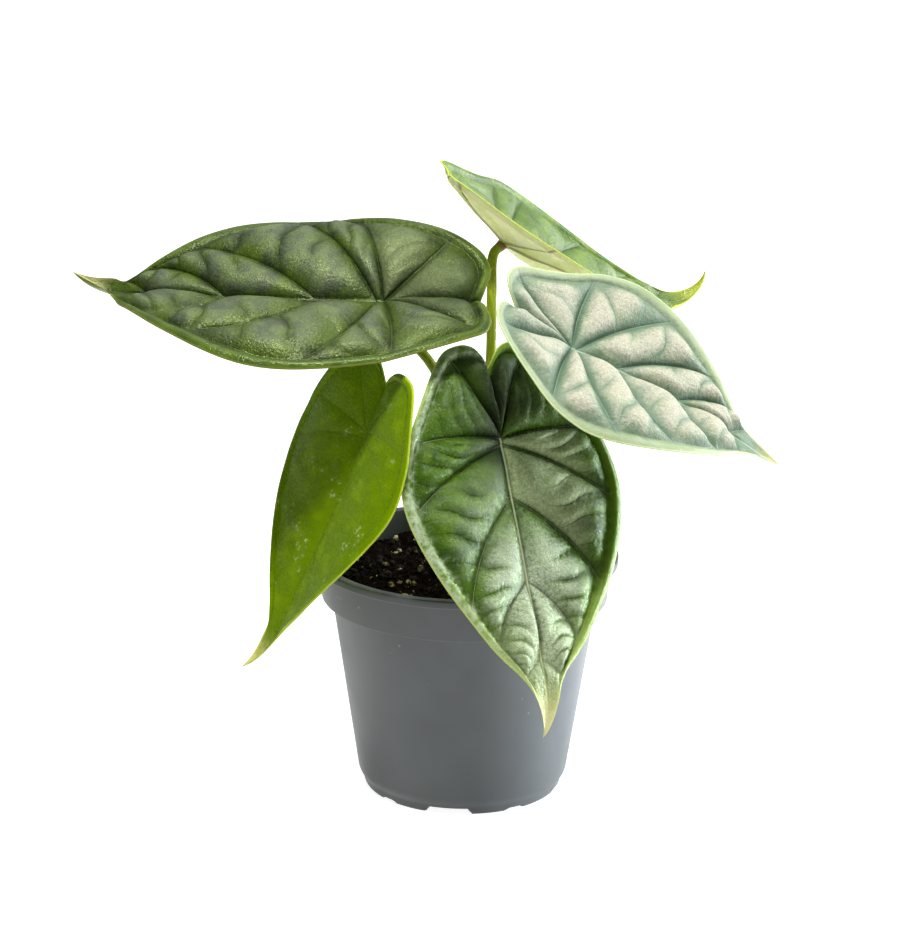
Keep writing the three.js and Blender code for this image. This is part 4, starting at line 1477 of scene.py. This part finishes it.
def build_world(settings):
    """Soft light that is brighter from behind the plant and its right than from the camera."""
    world = bpy.data.worlds.new("studio")
    world.use_nodes = True
    tree = world.node_tree
    way = tree.nodes.new("ShaderNodeTexCoord")
    towards = tree.nodes.new("ShaderNodeVectorMath")
    towards.operation = "DOT_PRODUCT"
    towards.inputs[1].default_value = BRIGHT_SIDE
    ramp = tree.nodes.new("ShaderNodeMapRange")
    ramp.interpolation_type = "SMOOTHSTEP"
    for socket, value in zip(ramp.inputs[1:], (*BRIGHT_SIDE_FADE, settings.front, settings.back)):
        socket.default_value = value
    background = tree.nodes["Background"]
    background.inputs["Color"].default_value = (1, 1, 1, 1)
    tree.links.new(way.outputs["Generated"], towards.inputs[0])
    tree.links.new(towards.outputs["Value"], ramp.inputs["Value"])
    tree.links.new(ramp.outputs["Result"], background.inputs["Strength"])
    bpy.context.scene.world = world


def softbox(name, power, place, target, size, tint, spread):
    """A rectangular lamp that looks at the target."""
    light = bpy.data.lights.new(name, "AREA")
    light.spread = math.radians(spread)
    light.shape = "RECTANGLE"
    light.size, light.size_y = size
    light.energy = power
    light.color = tint
    lamp = add_object(name, light)
    lamp.location = place
    lamp.rotation_mode = "QUATERNION"
    lamp.rotation_quaternion = (Vector(target) - Vector(place)).to_track_quat("-Z", "Y")


def build_camera():
    """The camera of the photo, with its dip and its slight roll."""
    data = bpy.data.cameras.new("camera")
    data.lens = CAMERA_LENS
    data.sensor_width = CAMERA_SENSOR
    camera = add_object("camera", data)
    ahead = Vector((0, math.cos(CAMERA_DIP), -math.sin(CAMERA_DIP)))
    level = Vector((1, 0, 0))
    up = level.cross(ahead)
    right = level * math.cos(CAMERA_ROLL) + up * math.sin(CAMERA_ROLL)
    up = up * math.cos(CAMERA_ROLL) - level * math.sin(CAMERA_ROLL)
    camera.matrix_world = Matrix.Translation(CAMERA_TARGET - ahead * CAMERA_DISTANCE) @ Matrix(
        (right, up, -ahead)).transposed().to_4x4()
    bpy.context.scene.camera = camera


class ALOCASIA_OT_studio(Operator):
    """Build the floor, the lights and the camera"""

    bl_idname = "alocasia.studio"
    bl_label = "Studio"

    def execute(self, context):
        settings = context.scene.alocasia.studio
        build_floor(settings)
        build_camera()
        build_world(settings)
        for name, lamp in LAMPS.items():
            softbox(name, getattr(settings, name), *lamp)
        context.scene.view_settings.view_transform = "Standard"
        return {"FINISHED"}


# Registration


class AlocasiaSettings(PropertyGroup):
    """All the sizes and colours of the plant"""

    left_blade: PointerProperty(name="Left blade", type=BLADE_GROUPS["left"])
    right_blade: PointerProperty(name="Right blade", type=BLADE_GROUPS["right"])
    front_blade: PointerProperty(name="Front blade", type=BLADE_GROUPS["front"])
    lower_left_blade: PointerProperty(name="Lower left blade", type=BLADE_GROUPS["lower_left"])
    top_blade: PointerProperty(name="Top blade", type=BLADE_GROUPS["top"])
    blades: PointerProperty(name="Blades", type=BladeSizes)
    stems: PointerProperty(name="Stems", type=StemColours)
    soil: PointerProperty(name="Soil", type=SoilSizes)
    pot: PointerProperty(name="Pot", type=PotSizes)
    studio: PointerProperty(name="Studio", type=StudioSettings)


class ALOCASIA_PT_panel(Panel):
    """Lists the pieces of the plant and their settings"""

    bl_label = "Dragon scale alocasia"
    bl_idname = "ALOCASIA_PT_panel"
    bl_space_type = "VIEW_3D"
    bl_region_type = "UI"
    bl_category = "Alocasia"

    def draw(self, context):
        plant = context.scene.alocasia
        for operator in OPERATORS:
            self.layout.operator(operator.bl_idname)
        for group in AlocasiaSettings.__annotations__:
            settings = getattr(plant, group)
            box = self.layout.box()
            box.label(text=group.replace("_", " "))
            for key in settings.__annotations__:
                box.prop(settings, key)


OPERATORS = (
    ALOCASIA_OT_studio, ALOCASIA_OT_pot, ALOCASIA_OT_soil, ALOCASIA_OT_stems, ALOCASIA_OT_blades,
)
CLASSES = (
    *BLADE_GROUPS.values(), BladeSizes, StemColours, SoilSizes, PotSizes, StudioSettings,
    AlocasiaSettings, *OPERATORS, ALOCASIA_PT_panel,
)


def register():
    """Registers all classes and hangs the settings on the scene."""
    for cls in CLASSES:
        bpy.utils.register_class(cls)
    bpy.types.Scene.alocasia = PointerProperty(type=AlocasiaSettings)


def unregister():
    """Takes the settings and all classes away again."""
    del bpy.types.Scene.alocasia
    for cls in reversed(CLASSES):
        bpy.utils.unregister_class(cls)


def main():
    """Builds everything, and writes how large the solids and the finished model are."""
    register()
    bpy.ops.alocasia.studio()
    bpy.ops.alocasia.pot()
    bpy.ops.alocasia.soil()
    bpy.ops.alocasia.stems()
    bpy.ops.alocasia.blades()


if __name__ == "__main__":
    main()
